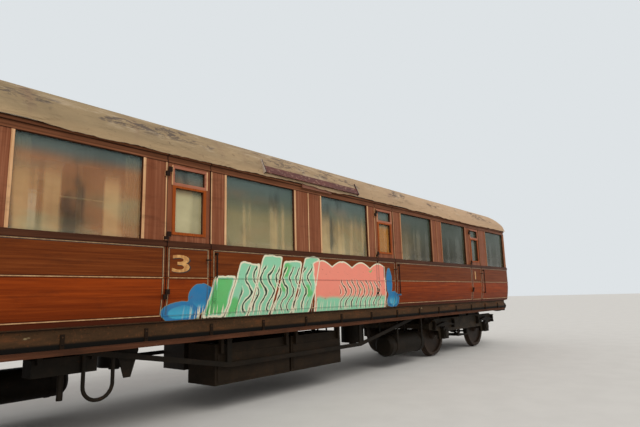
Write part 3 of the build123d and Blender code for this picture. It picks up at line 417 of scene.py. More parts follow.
def canvas():
    g = material("roof_canvas")
    weave = g.noise((260, 260, 260), detail=2)
    stains = g.noise((0.5, 2.2, 2.2), detail=7, rough=0.68, twist=0.6)
    streaks = g.noise((3.2, 0.5, 0.5), detail=5, rough=0.6)
    g.colour = g.ramp(stains, (0.25, 116, 100, 78), (0.5, 146, 128, 100), (0.75, 168, 146, 114))
    g.over(rgb(134, 112, 92), g.rise(streaks, 0.52, 0.80))
    patches = g.spots((1.7, 5, 5), 0.62, 0.70, detail=6, rough=0.75)
    g.over(rgb(92, 78, 70), patches, g.rise(g.h, 3.45, 3.65))
    g.over(rgb(176, 150, 116), g.rise(g.h, 3.43, 3.34), 0.45)
    # sun-bleached towards the first-class end
    g.over(rgb(206, 174, 146), g.rise(g.x, -5.0, 7.0), 0.55)
    spots = g.spots((14, 14, 14), 0.66, 0.72, detail=3)
    g.over(rgb(84, 70, 60), spots, 0.4)
    # dark smears and scars along the haunch
    sparse = g.times(g.spots((0.9, 0, 3), 0.50, 0.56, detail=2), g.band(g.h, 3.50, 3.70, 0.05))
    scars = g.times(g.spots((5, 9, 16), 0.47, 0.55, detail=6, rough=0.75, twist=0.8), sparse)
    g.over(rgb(84, 76, 74), scars, 0.8)
    pale = g.spots((2.2, 6, 12), 0.52, 0.66, detail=5, rough=0.7)
    g.over(rgb(196, 180, 158), pale, g.band(g.h, 3.45, 3.75, 0.06), 0.35)
    # its underside is the white ceiling
    normal = g.node("ShaderNodeNewGeometry").outputs["True Normal"]
    g.over(rgb(214, 204, 184), g.rise(g.parts(normal)[2], -0.05, -0.15))
    dents = g.times(g.spots((2.0, 5, 7), 0.45, 0.75, detail=4), 5.0)
    height = g.plus(g.plus(g.times(weave, 0.25), dents), stains)
    return finish(g, g.colour, 0.86, g.bump(height, 0.006, 0.6), gloss=0.08)


def board_wood():
    g = material("destination_board")
    grain = g.noise((2, 40, 60), detail=5)
    g.colour = g.ramp(grain, (0.3, 62, 26, 20), (0.6, 94, 42, 32), (0.8, 128, 74, 58))
    flakes = g.spots((16, 30, 30), 0.56, 0.62, detail=6, rough=0.8)
    g.over(rgb(164, 128, 108), flakes)
    middle = g.times(g.math("SIGN", g.y), -BOARD_MIDDLE)
    away = g.size(g.minus(g.x, middle))
    g.over(rgb(50, 38, 34), g.rise(away, BOARD_HALF - 0.002, BOARD_HALF + 0.002))
    rim = g.band(away, BOARD_HALF + 0.018, BOARD_HALF + 0.040, 0.002)
    g.over(rgb(196, 178, 160), rim, 0.8)
    batten = g.rise(g.h, 3.325, 3.318)
    g.over(rgb(128, 78, 56), batten)
    return finish(g, g.colour, 0.6, g.bump(grain, 0.001, 0.3))


def painted(name, base, worn, rust, roughness, dirt=0.5):
    """Old paint on metal or wood, with worn and rusty patches."""
    g = material(name)
    cloud = g.noise((3, 3, 5), detail=7, rough=0.7)
    fine = g.noise((34, 34, 34), detail=4, rough=0.6)
    streak = g.noise((16, 16, 1.6), detail=5, rough=0.6)
    g.colour = g.mix(g.rise(cloud, 0.38, 0.70), base, worn)
    g.over(rust, g.rise(fine, 0.58, 0.72), g.rise(cloud, 0.45, 0.62))
    g.over(tuple(0.35 * c for c in base[:3]) + (1,), g.rise(streak, 0.5, 0.8), dirt)
    shine = g.plus(roughness, g.times(g.minus(fine, 0.5), 0.3))
    return finish(g, g.colour, shine, g.bump(g.plus(fine, cloud), 0.0015, 0.4), gloss=0.12)


def footboard_wood():
    """Worn, rusty brown boards on dark brackets."""
    g = material("step_wood")
    grain = g.noise((1.2, 30, 30), detail=6, rough=0.65)
    wear = g.noise((2, 2, 6), detail=5, rough=0.7)
    g.colour = g.ramp(grain, (0.3, 56, 34, 22), (0.55, 82, 50, 34), (0.75, 108, 68, 46))
    g.over(rgb(42, 28, 20), g.rise(wear, 0.45, 0.7), 0.6)
    g.over(rgb(36, 26, 18), g.rise(g.h, 1.022, 1.027))
    return finish(g, g.colour, 0.8, g.bump(grain, 0.0015, 0.4), gloss=0.08)


def solebar_paint():
    """Rusty brown paint, with painted shade: nearly black along the foot of the solebar, and dark along its
    top under the body.
    """
    g = material("frame_paint")
    cloud = g.noise((1.6, 1.6, 7), detail=7, rough=0.7)
    fine = g.noise((30, 30, 30), detail=4, rough=0.65)
    g.colour = g.ramp(cloud, (0.3, 50, 36, 22), (0.55, 74, 52, 32), (0.75, 112, 66, 36))
    g.over(rgb(122, 74, 44), g.rise(fine, 0.55, 0.75), 0.6)
    marks = g.spots((5, 5, 9), 0.69, 0.73, detail=3, rough=0.7)
    g.over(rgb(150, 134, 100), marks, 0.7)
    # painted shade along the foot of the solebar
    g.over(rgb(15, 13, 10), g.rise(g.h, 1.092, 1.060))
    # painted shade along the top of the solebar, under the body
    g.over(rgb(24, 18, 13), g.rise(g.h, 1.205, 1.228), 0.8)
    return finish(g, g.colour, 0.7, g.bump(g.plus(fine, cloud), 0.0015, 0.4), gloss=0.12)


def cloth(name, low, high, nap):
    """Plain woven cloth; nap is the frequency of its threads."""
    g = material(name)
    weave = g.times(g.wave(g.x, nap), g.wave(g.z, nap))
    soft = g.noise((9, 9, 9), detail=4)
    fine = g.noise((180, 180, 180), detail=2)
    g.colour = g.mix(g.rise(soft, 0.35, 0.7), low, high)
    g.over(low, g.rise(fine, 0.45, 0.7), 0.3)
    height = g.plus(g.times(weave, 0.3), fine)
    return finish(g, g.colour, 0.9, g.bump(height, 0.0008, 0.5), Sheen_Weight=0.1, gloss=0.2)


def moquette(name, low, high, figure):
    """Cut-pile seat cloth with a small woven figure."""
    g = material(name)
    figures = g.times(g.wave(g.y, 88.0), g.wave(g.plus(g.x, g.z), 88.0))
    spot = g.rise(figures, 0.30, 0.55)
    pile = g.noise((160, 160, 160), detail=3)
    worn = g.noise((3, 3, 3), detail=4)
    g.colour = g.mix(g.rise(pile, 0.35, 0.7), low, high)
    g.over(figure, spot, 0.55)
    g.over(g.mix(0.5, high, rgb(150, 140, 128)), g.rise(worn, 0.5, 0.75), 0.3)
    normal = g.bump(g.plus(pile, spot), 0.0010, 0.5)
    return finish(g, g.colour, 0.92, normal, Sheen_Weight=0.35, gloss=0.15)


def veneer():
    """Varnished inner panels with an upright grain."""
    g = material("inner_wood")
    grain = g.noise((38, 38, 1.2), detail=6, rough=0.62, twist=0.6)
    broad = g.noise((3, 3, 0.6), detail=3)
    g.colour = g.ramp(grain, (0.25, 198, 152, 102), (0.75, 232, 196, 146))
    g.over(rgb(198, 152, 102), g.rise(broad, 0.45, 0.75), 0.4)
    rough = g.plus(0.35, g.times(broad, 0.15))
    return finish(g, g.colour, rough, g.bump(grain, 0.0005, 0.3), Coat_Weight=0.05)


def metal(name, base, tint, roughness, metallic=1.0):
    g = material(name)
    fine = g.noise((30, 30, 30), detail=5, rough=0.6)
    stain = g.noise((5, 5, 5), detail=6, rough=0.7)
    colour = g.mix(g.rise(stain, 0.45, 0.7), base, tint)
    rough = g.plus(roughness, g.times(fine, 0.25))
    return finish(g, colour, rough, g.bump(fine, 0.0006, 0.3), Metallic=metallic)


def pane():
    """Clear glass under a dusty film whose colour is painted reflection and painted light: tinted by the
    evening, darker towards the first class.
    """
    g = material("window_glass")
    haze_and_reflection = g.noise((1.3, 1.3, 2.2), detail=5, rough=0.6)
    dust = g.rise(g.h, SILL + 0.16, SILL)
    level = g.rise(g.h, SILL, HEAD)
    # painted reflection: warm tan low in the window, teal-grey sky at its top
    dusty_reflection = g.ramp(level, (0.0, 196, 184, 142), (0.45, 184, 172, 130),
                  (0.75, 134, 142, 122), (1.0, 124, 144, 142))
    # painted warm evening light glowing in the glass, strongest towards the third class
    glow = g.spots((0.55, 0.55, 0.9), 0.44, 0.64, detail=4, rough=0.55, twist=1.2)
    third = g.plus(0.25, g.times(g.rise(g.x, -2.2, -2.9), 0.75))
    dusty_reflection = g.tint(dusty_reflection, rgb(224, 150, 98), glow, g.rise(level, 1.0, 0.85), third, 0.8)
    # dark patches: painted dark reflections
    dark_reflection = g.spots((1.7, 1.7, 0.7), 0.54, 0.64, detail=3, rough=0.6)
    dusty_reflection = g.tint(dusty_reflection, rgb(74, 82, 80), dark_reflection, 0.6)
    # pale upright stripes: painted light on the curtains' folds behind the glass
    folds = g.spots((4.2, 4.2, 0.15), 0.46, 0.60, detail=2, rough=0.5)
    folds = g.times(folds, g.rise(level, 0.95, 0.5))
    dusty_reflection = g.tint(dusty_reflection, rgb(232, 198, 138), folds, 0.5)
    # the doors' glass, all at one distance from the middle of two neighbouring doors
    from_middle = g.size(g.minus(g.size(g.x), (DOORS[2] + DOORS[3]) / 2))
    apart = (DOORS[3] - DOORS[2]) / 2
    droplight = g.band(from_middle, apart - 0.3, apart + 0.3, 0.02)
    # painted reflection: the lower part of the doors' glass is pale
    door_reflection = g.times(droplight, g.rise(level, 0.8, 0.6))
    dusty_reflection = g.mix(door_reflection, dusty_reflection, rgb(214, 204, 160))
    # darker towards the first class: painted dark reflections
    dark = g.ramp(level, (0.0, 76, 74, 54), (1.0, 88, 100, 88))
    dusty_reflection = g.mix(g.rise(g.x, 1.5, 4.6), dusty_reflection, dark)
    # painted orange glow on the glass of one door
    dusty_reflection = g.tint(dusty_reflection, rgb(206, 146, 76), door_reflection, g.band(g.x, 2.0, 2.7, 0.02))
    g.put(g.shader.inputs["Base Color"], dusty_reflection)
    g.put(g.shader.inputs["Roughness"], 0.06)
    clear = g.node("ShaderNodeBsdfTransparent", rgb(238, 242, 236)).outputs[0]
    gloss = g.node("ShaderNodeFresnel", IOR=1.5).outputs[0]
    # how much of the film shows: its dust, and its painted reflections and light
    dusty_reflection_share = g.plus(g.times(haze_and_reflection, 0.5), g.times(dust, 0.14))
    dusty_reflection_share = g.plus(dusty_reflection_share, g.times(droplight, 0.14))
    dusty_reflection_share = g.plus(dusty_reflection_share, g.times(folds, 0.20))
    share = g.plus(g.times(gloss, 1.4), dusty_reflection_share, clamp=True)
    both = g.node("ShaderNodeMixShader", share, clear, g.shader.outputs[0])
    g.put(g.output.inputs[0], both.outputs[0])
    return g.made


def lining(name, low, high):
    """Painted lines and numerals, under the spray paint like the wood."""
    g = material(name)
    wear = g.noise((20, 20, 20), detail=4)
    colour, paint = sprayed(g, g.mix(g.rise(wear, 0.35, 0.7), low, high))
    # painted shade: where the spray paint covers the lines, they are darkened so that their relief shows
    shade = g.mix(paint, colour, g.mix(0.45, colour, rgb(40, 40, 38)))
    return finish(g, shade, g.plus(0.35, g.times(wear, 0.3)))


def looks(kind, **rows):
    """Materials of one kind: each row is a name with its colours from 0 to 255 and its values."""
    return {name: kind(name, *[rgb(*v) if isinstance(v, tuple) else v for v in row])
            for name, row in rows.items()}


MATERIAL = {
    "teak": teak(),
    "canvas_roof": canvas(),
    "destination_board": board_wood(),
    "glass": pane(),
    "inner_wood": veneer(),
    "frame_paint": solebar_paint(),
    "step_wood": footboard_wood(),
    **looks(painted,
            roof_metal=((150, 130, 106), (128, 108, 90), (100, 64, 44), 0.7),
            floorboards=((92, 66, 46), (112, 84, 60), (60, 44, 32), 0.7, 0.3),
            dark_steel=((23, 18, 11), (34, 26, 18), (62, 40, 24), 0.65),
            box_paint=((31, 22, 12), (42, 31, 19), (66, 42, 25), 0.65),
            wheel_steel=((54, 41, 31), (42, 34, 28), (86, 54, 34), 0.55),
            bogie_paint=((40, 34, 26), (58, 47, 35), (92, 62, 40), 0.65)),
    **looks(moquette,
            third_cloth=((98, 32, 30), (134, 52, 46), (60, 30, 34)),
            first_cloth=((44, 62, 88), (70, 92, 120), (150, 138, 104))),
    **looks(cloth,
            curtain_cloth=((226, 196, 150), (244, 222, 182), 900.0),
            bellows_cloth=((30, 29, 28), (50, 48, 45), 500.0)),
    **looks(metal,
            brass=((232, 208, 160), (186, 158, 108), 0.35, 0.4),
            bright_steel=((92, 88, 82), (58, 51, 44), 0.38)),
    **looks(lining,
            gold_line=((158, 120, 78), (196, 160, 114)),
            gold_leaf=((172, 118, 60), (210, 160, 94)),
            black_line=((30, 20, 16), (44, 30, 22))),
}
for entry in frame["record"]["subparts"]:
    data = frame["nodes"][entry["node"]].data
    data.materials.clear()
    data.materials.append(MATERIAL[entry["material_slot"]])


# Mesh helpers


def made(name, verts, faces, look, body, smooth=False):
    """A new piece from vertices and faces, with a material, on a body."""
    mesh = bpy.data.meshes.new(name)
    mesh.from_pydata([tuple(v) for v in verts], [], faces)
    mesh.validate()
    mesh.materials.append(MATERIAL[look])
    if smooth:
        mesh.shade_smooth()
    else:
        mesh.shade_flat()
    piece = placed(name, mesh, body)
    return piece


def circle(centre, side, up, radius, count):
    """Points round a centre, in the plane of two directions."""
    turns = [2 * pi * k / count for k in range(count)]
    return [centre + radius * (side * cos(turn) + up * sin(turn)) for turn in turns]


def rounded(half_a, half_b, radius, steps, middle=0.0):
    """Points round a rectangle with round corners; middle lifts it along its second side."""
    points = []
    for a, b, first in ((1, 1, 0), (-1, 1, 90), (-1, -1, 180), (1, -1, 270)):
        for k in range(steps + 1):
            angle = radians(first + 90 / steps * k)
            points.append((a * (half_a - radius) + radius * cos(angle),
                           middle + b * (half_b - radius) + radius * sin(angle)))
    return points


class Stack:
    """Vertices and faces of a piece made of several closed shapes."""

    def __init__(self, turned=False):
        self.verts, self.faces, self.turned = [], [], turned

    def loft(self, rows, closed=False):
        """A closed tube through rows of points, each row a ring."""
        start, n = len(self.verts), len(rows[0])
        for row in rows:
            for x, y, z in row:
                self.verts.append((-x, -y, z) if self.turned else (x, y, z))
        last = len(rows) if closed else len(rows) - 1
        for i in range(last):
            a, b = start + i * n, start + (i + 1) % len(rows) * n
            for j in range(n):
                k = (j + 1) % n
                self.faces.append((a + j, a + k, b + k, b + j))
        if not closed:
            self.faces.append(tuple(start + j for j in reversed(range(n))))
            self.faces.append(tuple(start + (len(rows) - 1) * n + j for j in range(n)))

    def bar(self, x, y, z):
        """A box between two values of each."""
        ring = [(y[0], z[0]), (y[1], z[0]), (y[1], z[1]), (y[0], z[1])]
        self.loft([[(at, b, c) for b, c in ring] for at in x])

    def dome(self, centre, normal, radius, height, sides, steps):
        """A bolt head or rivet: a low dome on a face."""
        normal = Vector(normal).normalized()
        side = normal.orthogonal().normalized()
        other = normal.cross(side)
        rows = []
        for step in range(steps + 1):
            angle = step / steps * pi / 2 * 0.93
            level = Vector(centre) + normal * height * sin(angle)
            rows.append(circle(level, side, other, radius * cos(angle), sides))
        self.loft(rows)

    def finish(self, name, look, body, smooth=False):
        piece = made(name, self.verts, self.faces, look, body, smooth)
        tidy = bmesh.new()
        tidy.from_mesh(piece.data)
        bmesh.ops.recalc_face_normals(tidy, faces=tidy.faces)
        tidy.to_mesh(piece.data)
        tidy.free()
        return piece


def side_face(h):
    """Distance of the side's outer face from the centre line at a height above the rails."""
    if h >= SILL:
        return PANEL_OUT
    fall = max(TURN_TOP - h, 0)
    return SIDE_OUT - (TURN_R - sqrt(TURN_R**2 - fall**2))


# Lining and numerals

LINE_TOP, LINE_MIDDLE, LINE_FOOT = 2.126, 1.758, 1.306
BEAD_TOP = {LINE_MIDDLE: (1.750, 1.766), LINE_FOOT: (1.298, 1.314)}
GOLD_PROUD, BLACK_PROUD, GOLD_LEVEL, GOLD_UPRIGHT, BLACK_WIDTH = 0.0012, 0.0006, 0.010, 0.009, 0.026


def line_face(h):
    """Where the lining lies: on a bead where there is one."""
    if h in BEAD_TOP:
        return min(side_face(edge) for edge in BEAD_TOP[h]) + 0.006
    return side_face(h)


def level_line(stack, x0, x1, h, width, proud):
    face = line_face(h)
    stack.bar((x0, x1), (-face + 0.002, -face - proud), (h - width / 2 + RAIL, h + width / 2 + RAIL))


def upright_line(stack, x, h0, h1, width, proud):
    """A line up the side, following its turn-under."""
    steps = 16
    rows = []
    for i in range(steps + 1):
        h = h0 + (h1 - h0) * i / steps
        back, front = 0.002 - side_face(h), -side_face(h) - proud
        rows.append([(x + across * width / 2, y, h + RAIL)
                     for across, y in ((-1, back), (1, back), (1, front), (-1, front))])
    stack.loft(rows)


def lined_box(gold, black, x0, x1):
    """Lining round a panel, with a line along its middle."""
    for h in (LINE_TOP, LINE_MIDDLE, LINE_FOOT):
        level_line(gold, x0, x1, h, GOLD_LEVEL, GOLD_PROUD)
    level_line(black, x0 - 0.008, x1 + 0.008, LINE_TOP, BLACK_WIDTH, BLACK_PROUD)
    for x in (x0, x1):
        for low, high in ((LINE_FOOT + 0.009, LINE_MIDDLE - 0.009), (LINE_MIDDLE + 0.009, LINE_TOP)):
            upright_line(gold, x, low, high, GOLD_UPRIGHT, GOLD_PROUD)
            upright_line(black, x, low, high, BLACK_WIDTH, BLACK_PROUD)


NUMERAL_SIZE, NUMERAL_FOOT = 0.298, 1.832
NUMERAL_PLACE = {"3": (2.25, 0.285), "1": (1.5, 0.22)}  # stretch, and how far left of the door's middle
# part, material, shift, distance proud of the side and swelling of the outline
NUMERAL_PARTS = (("shade", "black_line", 0.013, 0.0004, 0.007), ("face", "gold_leaf", 0.0, 0.0010, 0.004))


def numeral(name, text, door_x, turned, body):
    """A class number on a door, with its dark shadow, centred left of the door's middle."""
    stretch, left = NUMERAL_PLACE[text]
    for part, look, shift, lift, swell in NUMERAL_PARTS:
        curve = bpy.data.curves.new(f"{name}_{part}", "FONT")
        curve.body = text
        curve.size = NUMERAL_SIZE
        curve.extrude = 0.0006
        curve.offset = swell
        curve.resolution_u = 4
        shape = placed(f"{name}_{part}", curve)
        bpy.context.view_layer.update()
        mesh = bpy.data.meshes.new_from_object(shape)
        bpy.data.objects.remove(shape)
        place = (door_x - left + shift, -SIDE_OUT - lift, NUMERAL_FOOT - 0.5 * shift + RAIL)
        upright = Matrix.Rotation(radians(90), 4, "X") @ Matrix.Diagonal((stretch, 1, 1, 1))
        mesh.transform(Matrix.Translation(place) @ upright)
        if turned:
            mesh.transform(Matrix.Rotation(pi, 4, "Z"))
        mesh.materials.clear()
        mesh.materials.append(MATERIAL[look])
        placed(f"{name}_{part}", mesh, body)


for side in ("near", "far"):
    turned = side == "far"
    gold, black = Stack(turned), Stack(turned)
    starts = [-CORNER + 0.05] + [x + DOOR_HALF + 0.060 for x in DOORS]
    ends = [x - DOOR_HALF - 0.040 for x in DOORS] + [CORNER - 0.05]
    for x0, x1 in zip(starts, ends):
        lined_box(gold, black, x0, x1)
    gold.finish(f"lining_{side}", "gold_line", "coach_body")
    black.finish(f"lining_edge_{side}", "black_line", "coach_body")
    for number, x in enumerate(DOORS, start=1):
        body = f"door_{side}_{number}"
        gold, black = Stack(turned), Stack(turned)
        lined_box(gold, black, x - 0.295, x + 0.295)
        gold.finish(f"lining_door_{side}_{number}", "gold_line", body)
        black.finish(f"lining_edge_door_{side}_{number}", "black_line", body)
        third = (x < 0) != turned
        numeral(f"numeral_{side}_{number}", "3" if third else "1", x, turned, body)


# Ragged edge of the roof's canvas

CANVAS_OUT = 1.419


def canvas_edge(side):
    """The strip of canvas that hangs past the cornice, with a torn lower edge."""
    sign = -1 if side == "near" else 1
    draw = random.Random(5 if side == "near" else 6)
    rows = []
    steps = 420
    drop = 0.012
    for i in range(steps + 1):
        x = -CORNER + 2 * CORNER * i / steps
        drop = min(max(drop + draw.uniform(-0.007, 0.007), 0.006), 0.034)
        swing = 0.004 * sin(x * 5) + 0.003 * sin(x * 13 + 1) + draw.uniform(0, 0.003)
        out = CANVAS_OUT + swing
        top, foot = EAVES + RAIL + 0.012, EAVES + RAIL - drop - 0.008 * sin(x * 2.1) ** 2
        ring = ((out - 0.004, top), (out + 0.001, top), (out + 0.001, foot), (out - 0.003, foot))
        rows.append([(x, sign * y, z) for y, z in ring])
    stack = Stack()
    stack.loft(rows)
    stack.finish(f"canvas_edge_{side}", "canvas_roof", "coach_body")


canvas_edge("near")
canvas_edge("far")


# Curtains

CURTAIN_OUT, CURTAIN_WIDTH, CURTAIN_GAP = 1.279, 0.183, 0.005


def curtain(name, x0, x1, side):
    """A hanging curtain with soft folds, shallower at its top."""
    sign = -1 if side == "near" else 1
    draw = random.Random(name)
    across, down = 56, 12
    top, foot = HEAD + RAIL - 0.004, SILL + RAIL + 0.024
    middle = sign * CURTAIN_OUT
    phase = draw.uniform(0, 2 * pi)
    folds = draw.choice((4, 5))
    verts, faces = [], []
    for j in range(down + 1):
        t = j / down
        for i in range(across + 1):
            s = i / across
            wave = sin(2 * pi * folds * s + phase) + 0.35 * sin(2 * pi * 2 * folds * s + 1.3 * phase + t)
            y = middle + 0.0058 * wave * (0.75 + 0.25 * t)
            verts.append((x0 + (x1 - x0) * s, y, top + (foot - top) * t))
    for j in range(down):
        for i in range(across):
            a = j * (across + 1) + i
            faces.append((a, a + 1, a + across + 2, a + across + 1))
    piece = made(name, verts, faces, "curtain_cloth", "coach_body", smooth=True)
    thick = piece.modifiers.new("thick", "SOLIDIFY")
    thick.thickness, thick.offset = 0.0012, 0
    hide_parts("curtains")


for number, x in enumerate(WINDOWS, start=1):
    for side in ("near", "far"):
        low, high = x - WINDOW_HALF + CURTAIN_GAP, x + WINDOW_HALF - CURTAIN_GAP
        curtain(f"curtain_{side}_{number}_left", low, low + CURTAIN_WIDTH, side)
        curtain(f"curtain_{side}_{number}_right", high - CURTAIN_WIDTH, high, side)


# A dark strip between the footboards and the solebars: painted shade in the gap

for side in ("near", "far"):
    strip = Stack(side == "far")
    strip.bar((-8.745, 8.745), (-1.2545, -1.195), (1.004 + RAIL, 1.0345 + RAIL))
    strip.finish(f"footboard_gap_shade_{side}", "frame_paint", "coach_body")


# Coil springs of the bolsters

COIL_FOOT, COIL_TOP, COIL_R, WIRE_R, COIL_TURNS = 0.412 + RAIL, 0.720 + RAIL, 0.070, 0.0145, 5.5
COIL_PLACES = ((-0.11, -0.8), (0.11, -0.8), (-0.11, 0.8), (0.11, 0.8))
UP = Vector((0, 0, 1))


def coil(name, x, y, body):
    """A spring whose end turns lie flat."""
    steps, sides = 132, 10
    rise = COIL_TOP - COIL_FOOT - 2 * WIRE_R
    rows = []
    for i in range(steps + 1):
        t = i / steps
        flat = min(max((t - 0.08) / 0.84, 0), 1)
        angle = 2 * pi * COIL_TURNS * t
        out = Vector((cos(angle), sin(angle), 0))
        centre = Vector((x, y, COIL_FOOT + WIRE_R + rise * flat)) + COIL_R * out
        rows.append(circle(centre, out, UP, WIRE_R, sides))
    stack = Stack()
    stack.loft(rows)
    return stack.finish(name, "dark_steel", body, smooth=True)


for place, middle in BOGIES.items():
    for number, (dx, y) in enumerate(COIL_PLACES, start=1):
        piece = coil(f"bolster_coil_{place}_{number}", middle + dx, y, f"bogie_{place}")
        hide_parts(f"bolster_springs_{place}")


# Rivets and bolts

FRAME_FACE, BOX_FACE, BRACKET_FACE, SOLEBAR_FACE, BUFFER_FACE = 1.077, 1.184, 1.268, 1.254, 9.1630
AXLE, HALF_BASE, BUFFER_Y, BUFFER_H = 0.533, 1.2955, 0.8635, 1.054
BRACKET_PITCH, RIVET_PITCH = 0.95109, 0.158525
# radius, height, sides and steps of each kind of head
FLANGE_RIVET, STRAP_RIVET, HORN_RIVET = (0.013, 0.008, 8, 2), (0.012, 0.008, 8, 2), (0.011, 0.008, 8, 2)
BOLT, BOX_CAP = (0.011, 0.009, 6, 2), (0.042, 0.012, 16, 3)
BRACKET_BOLT, SMALL_RIVET = (0.010, 0.008, 6, 2), (0.009, 0.006, 8, 2)


def bogie_fastenings(place, middle):
    """Rivet heads of a bogie's frame, and bolts and caps of its axlebox covers."""
    plates, covers = Stack(), Stack()
    for side in (-1, 1):
        out, plate, cover = (0, side, 0), side * FRAME_FACE, side * BOX_FACE
        for k in range(-13, 14):
            plates.dome((middle + k * 0.115, plate, 0.852 + RAIL), out, *FLANGE_RIVET)
        for x in (-0.35, -0.31, 0.31, 0.35):
            for k in range(3):
                plates.dome((middle + x, plate, 0.62 + 0.08 * k + RAIL), out, *STRAP_RIVET)
        for axle in (middle - HALF_BASE, middle + HALF_BASE):
            for x in (-0.150, 0.150):
                for k in range(4):
                    plates.dome((axle + x, plate, 0.44 + 0.065 * k + RAIL), out, *HORN_RIVET)
            for k in range(6):
                angle = radians(60 * k + 30)
                spot = (axle + 0.076 * cos(angle), cover, AXLE + 0.076 * sin(angle) + RAIL)
                covers.dome(spot, out, *BOLT)
            covers.dome((axle, cover, AXLE + RAIL), out, *BOX_CAP)
    plates.finish(f"rivets_bogie_{place}", "bogie_paint", f"bogie_{place}")
    covers.finish(f"axlebox_bolts_{place}", "bogie_paint", f"bogie_{place}")


def frame_fastenings():
    """Bolts of the footboard brackets and buffers, and rivets along the solebars."""
    heads = Stack()
    for side in (-1, 1):
        out = (0, side, 0)
        for step in range(-9, 10):
            for h in (1.062, 1.138):
                heads.dome((step * BRACKET_PITCH, side * BRACKET_FACE, h + RAIL), out, *BRACKET_BOLT)
        for k in range(-56, 57):
            heads.dome((k * RIVET_PITCH + 0.079, side * SOLEBAR_FACE, 1.196 + RAIL), out, *SMALL_RIVET)
        for y in (-BUFFER_Y, BUFFER_Y):
            for k in range(4):
                angle = radians(90 * k + 45)
                spot = (side * BUFFER_FACE, y + 0.108 * cos(angle), BUFFER_H + 0.108 * sin(angle) + RAIL)
                heads.dome(spot, (side, 0, 0), *BOLT)
    heads.finish("frame_bolts", "frame_paint", "coach_body")


for place, middle in BOGIES.items():
    bogie_fastenings(place, middle)
frame_fastenings()


# Cushions

SEAT, SEAT_FOOT = Vector((0.5597, 1.840, 0.1297)), 1.6003
BACK, BACK_FOOT = Vector((0.1197, 1.840, 0.8097)), 1.7303
CHANNELS = (-0.62, -0.31, 0.0, 0.31, 0.62)  # sewn across, distances from the cushion's middle
VOXEL, CAP, MARGIN = 0.023, 0.024, 0.0004
RIM_DEPTH, BELLY, CHANNEL_DEPTH, PIPING_R = 0.014, 0.022, 0.020, 0.0045
ROOMS = ((0, 1.8805), (2.849, 4.677), (4.677, 6.458))  # compartments, distances from the coach's middle
ROOM_SIDES = (-0.584, 1.256)


def stuffed(name, size, crown):
    """A cushion about its own middle: a slim box that swells under its stuffing, with sewn channels.

    crown is the axis that its soft face looks along, upwards or towards the sitter.
    """
    slim = [side - 0.016 for side in size]
    slim[crown] -= 0.030
    shape = bmesh.new()
    bmesh.ops.create_cube(shape, size=1.0)
    bmesh.ops.scale(shape, vec=slim, verts=shape.verts)
    bmesh.ops.bevel(shape, geom=shape.edges[:], offset=0.016, segments=2, affect="EDGES")
    data = bpy.data.meshes.new(name)
    shape.to_mesh(data)
    shape.free()
    pad = placed(name, data)
    remesh = pad.modifiers.new("remesh", "REMESH")
    remesh.mode, remesh.voxel_size = "VOXEL", VOXEL
    even = bpy.data.meshes.new_from_object(pad.evaluated_get(bpy.context.evaluated_depsgraph_get()))
    pad.modifiers.remove(remesh)
    pad.data = even
    start = [v.co.copy() for v in even.vertices]
    swollen = start
    cloth = pad.modifiers.new("cloth", "CLOTH")
    cloth.settings.use_pressure = True
    cloth.settings.uniform_pressure_force = 4
    cloth.settings.effector_weights.gravity = 0
    scene = bpy.context.scene
    for step in range(1, 21):
        scene.frame_set(step)
    done = pad.evaluated_get(bpy.context.evaluated_depsgraph_get()).to_mesh()
    swollen = [v.co.copy() for v in done.vertices]
    pad.modifiers.remove(cloth)
    scene.frame_set(1)
    flat = [i for i in range(3) if i != crown]
    half = size / 2
    for v, old, new in zip(even.vertices, start, swollen):
        move = new - old
        if move.length > CAP:
            move = move.normalized() * CAP
        place = old + move
        # 1 at the middle of the face and 0 at its rim
        inward = [1 - abs(old[i]) / half[i] for i in flat]
        belly = min(inward[0] * 4, 1) ** 0.6 * min(inward[1] * 9, 1) ** 0.6
        if old[crown] > slim[crown] / 2 - 0.012:
            groove = max(exp(-((old.y - channel) / 0.030) ** 2) for channel in CHANNELS)
            place[crown] = half[crown] - RIM_DEPTH + BELLY * belly - CHANNEL_DEPTH * groove * belly ** 0.5
        else:
            place[crown] = min(place[crown], half[crown] - RIM_DEPTH)
        for i in flat:
            place[i] = min(max(place[i], MARGIN - half[i]), half[i] - MARGIN)
        place[crown] = max(place[crown], MARGIN - half[crown])
        v.co = place
    bpy.data.objects.remove(pad)
    return even


def seam(stack, cushion, size, crown, put):
    """Piping round the soft face of a cushion, laid on its surface."""
    surface = BVHTree.FromPolygons([v.co for v in cushion.vertices], [p.vertices for p in cushion.polygons])
    first, second = [i for i in range(3) if i != crown]
    half = size / 2
    rim = rounded(half[first], half[second], 0.05, 4)
    path = []
    for (a0, b0), (a1, b1) in zip(rim, rim[1:] + rim[:1]):
        count = max(1, int(((a1 - a0) ** 2 + (b1 - b0) ** 2) ** 0.5 / 0.05))
        for k in range(count):
            point = Vector((0, 0, 0))
            point[first], point[second] = a0 + (a1 - a0) * k / count, b0 + (b1 - b0) * k / count
            point[crown] = half[crown] - 0.004
            path.append(put @ surface.find_nearest(point)[0])
    rows = []
    for before, here, after in zip(path[-1:] + path[:-1], path, path[1:] + path[:1]):
        ahead = (after - before).normalized()
        side = (ahead.orthogonal() if abs(ahead.z) > 0.9 else ahead.cross(UP)).normalized()
        rows.append(circle(here, side, side.cross(ahead), PIPING_R, 8))
    stack.loft(rows, closed=True)


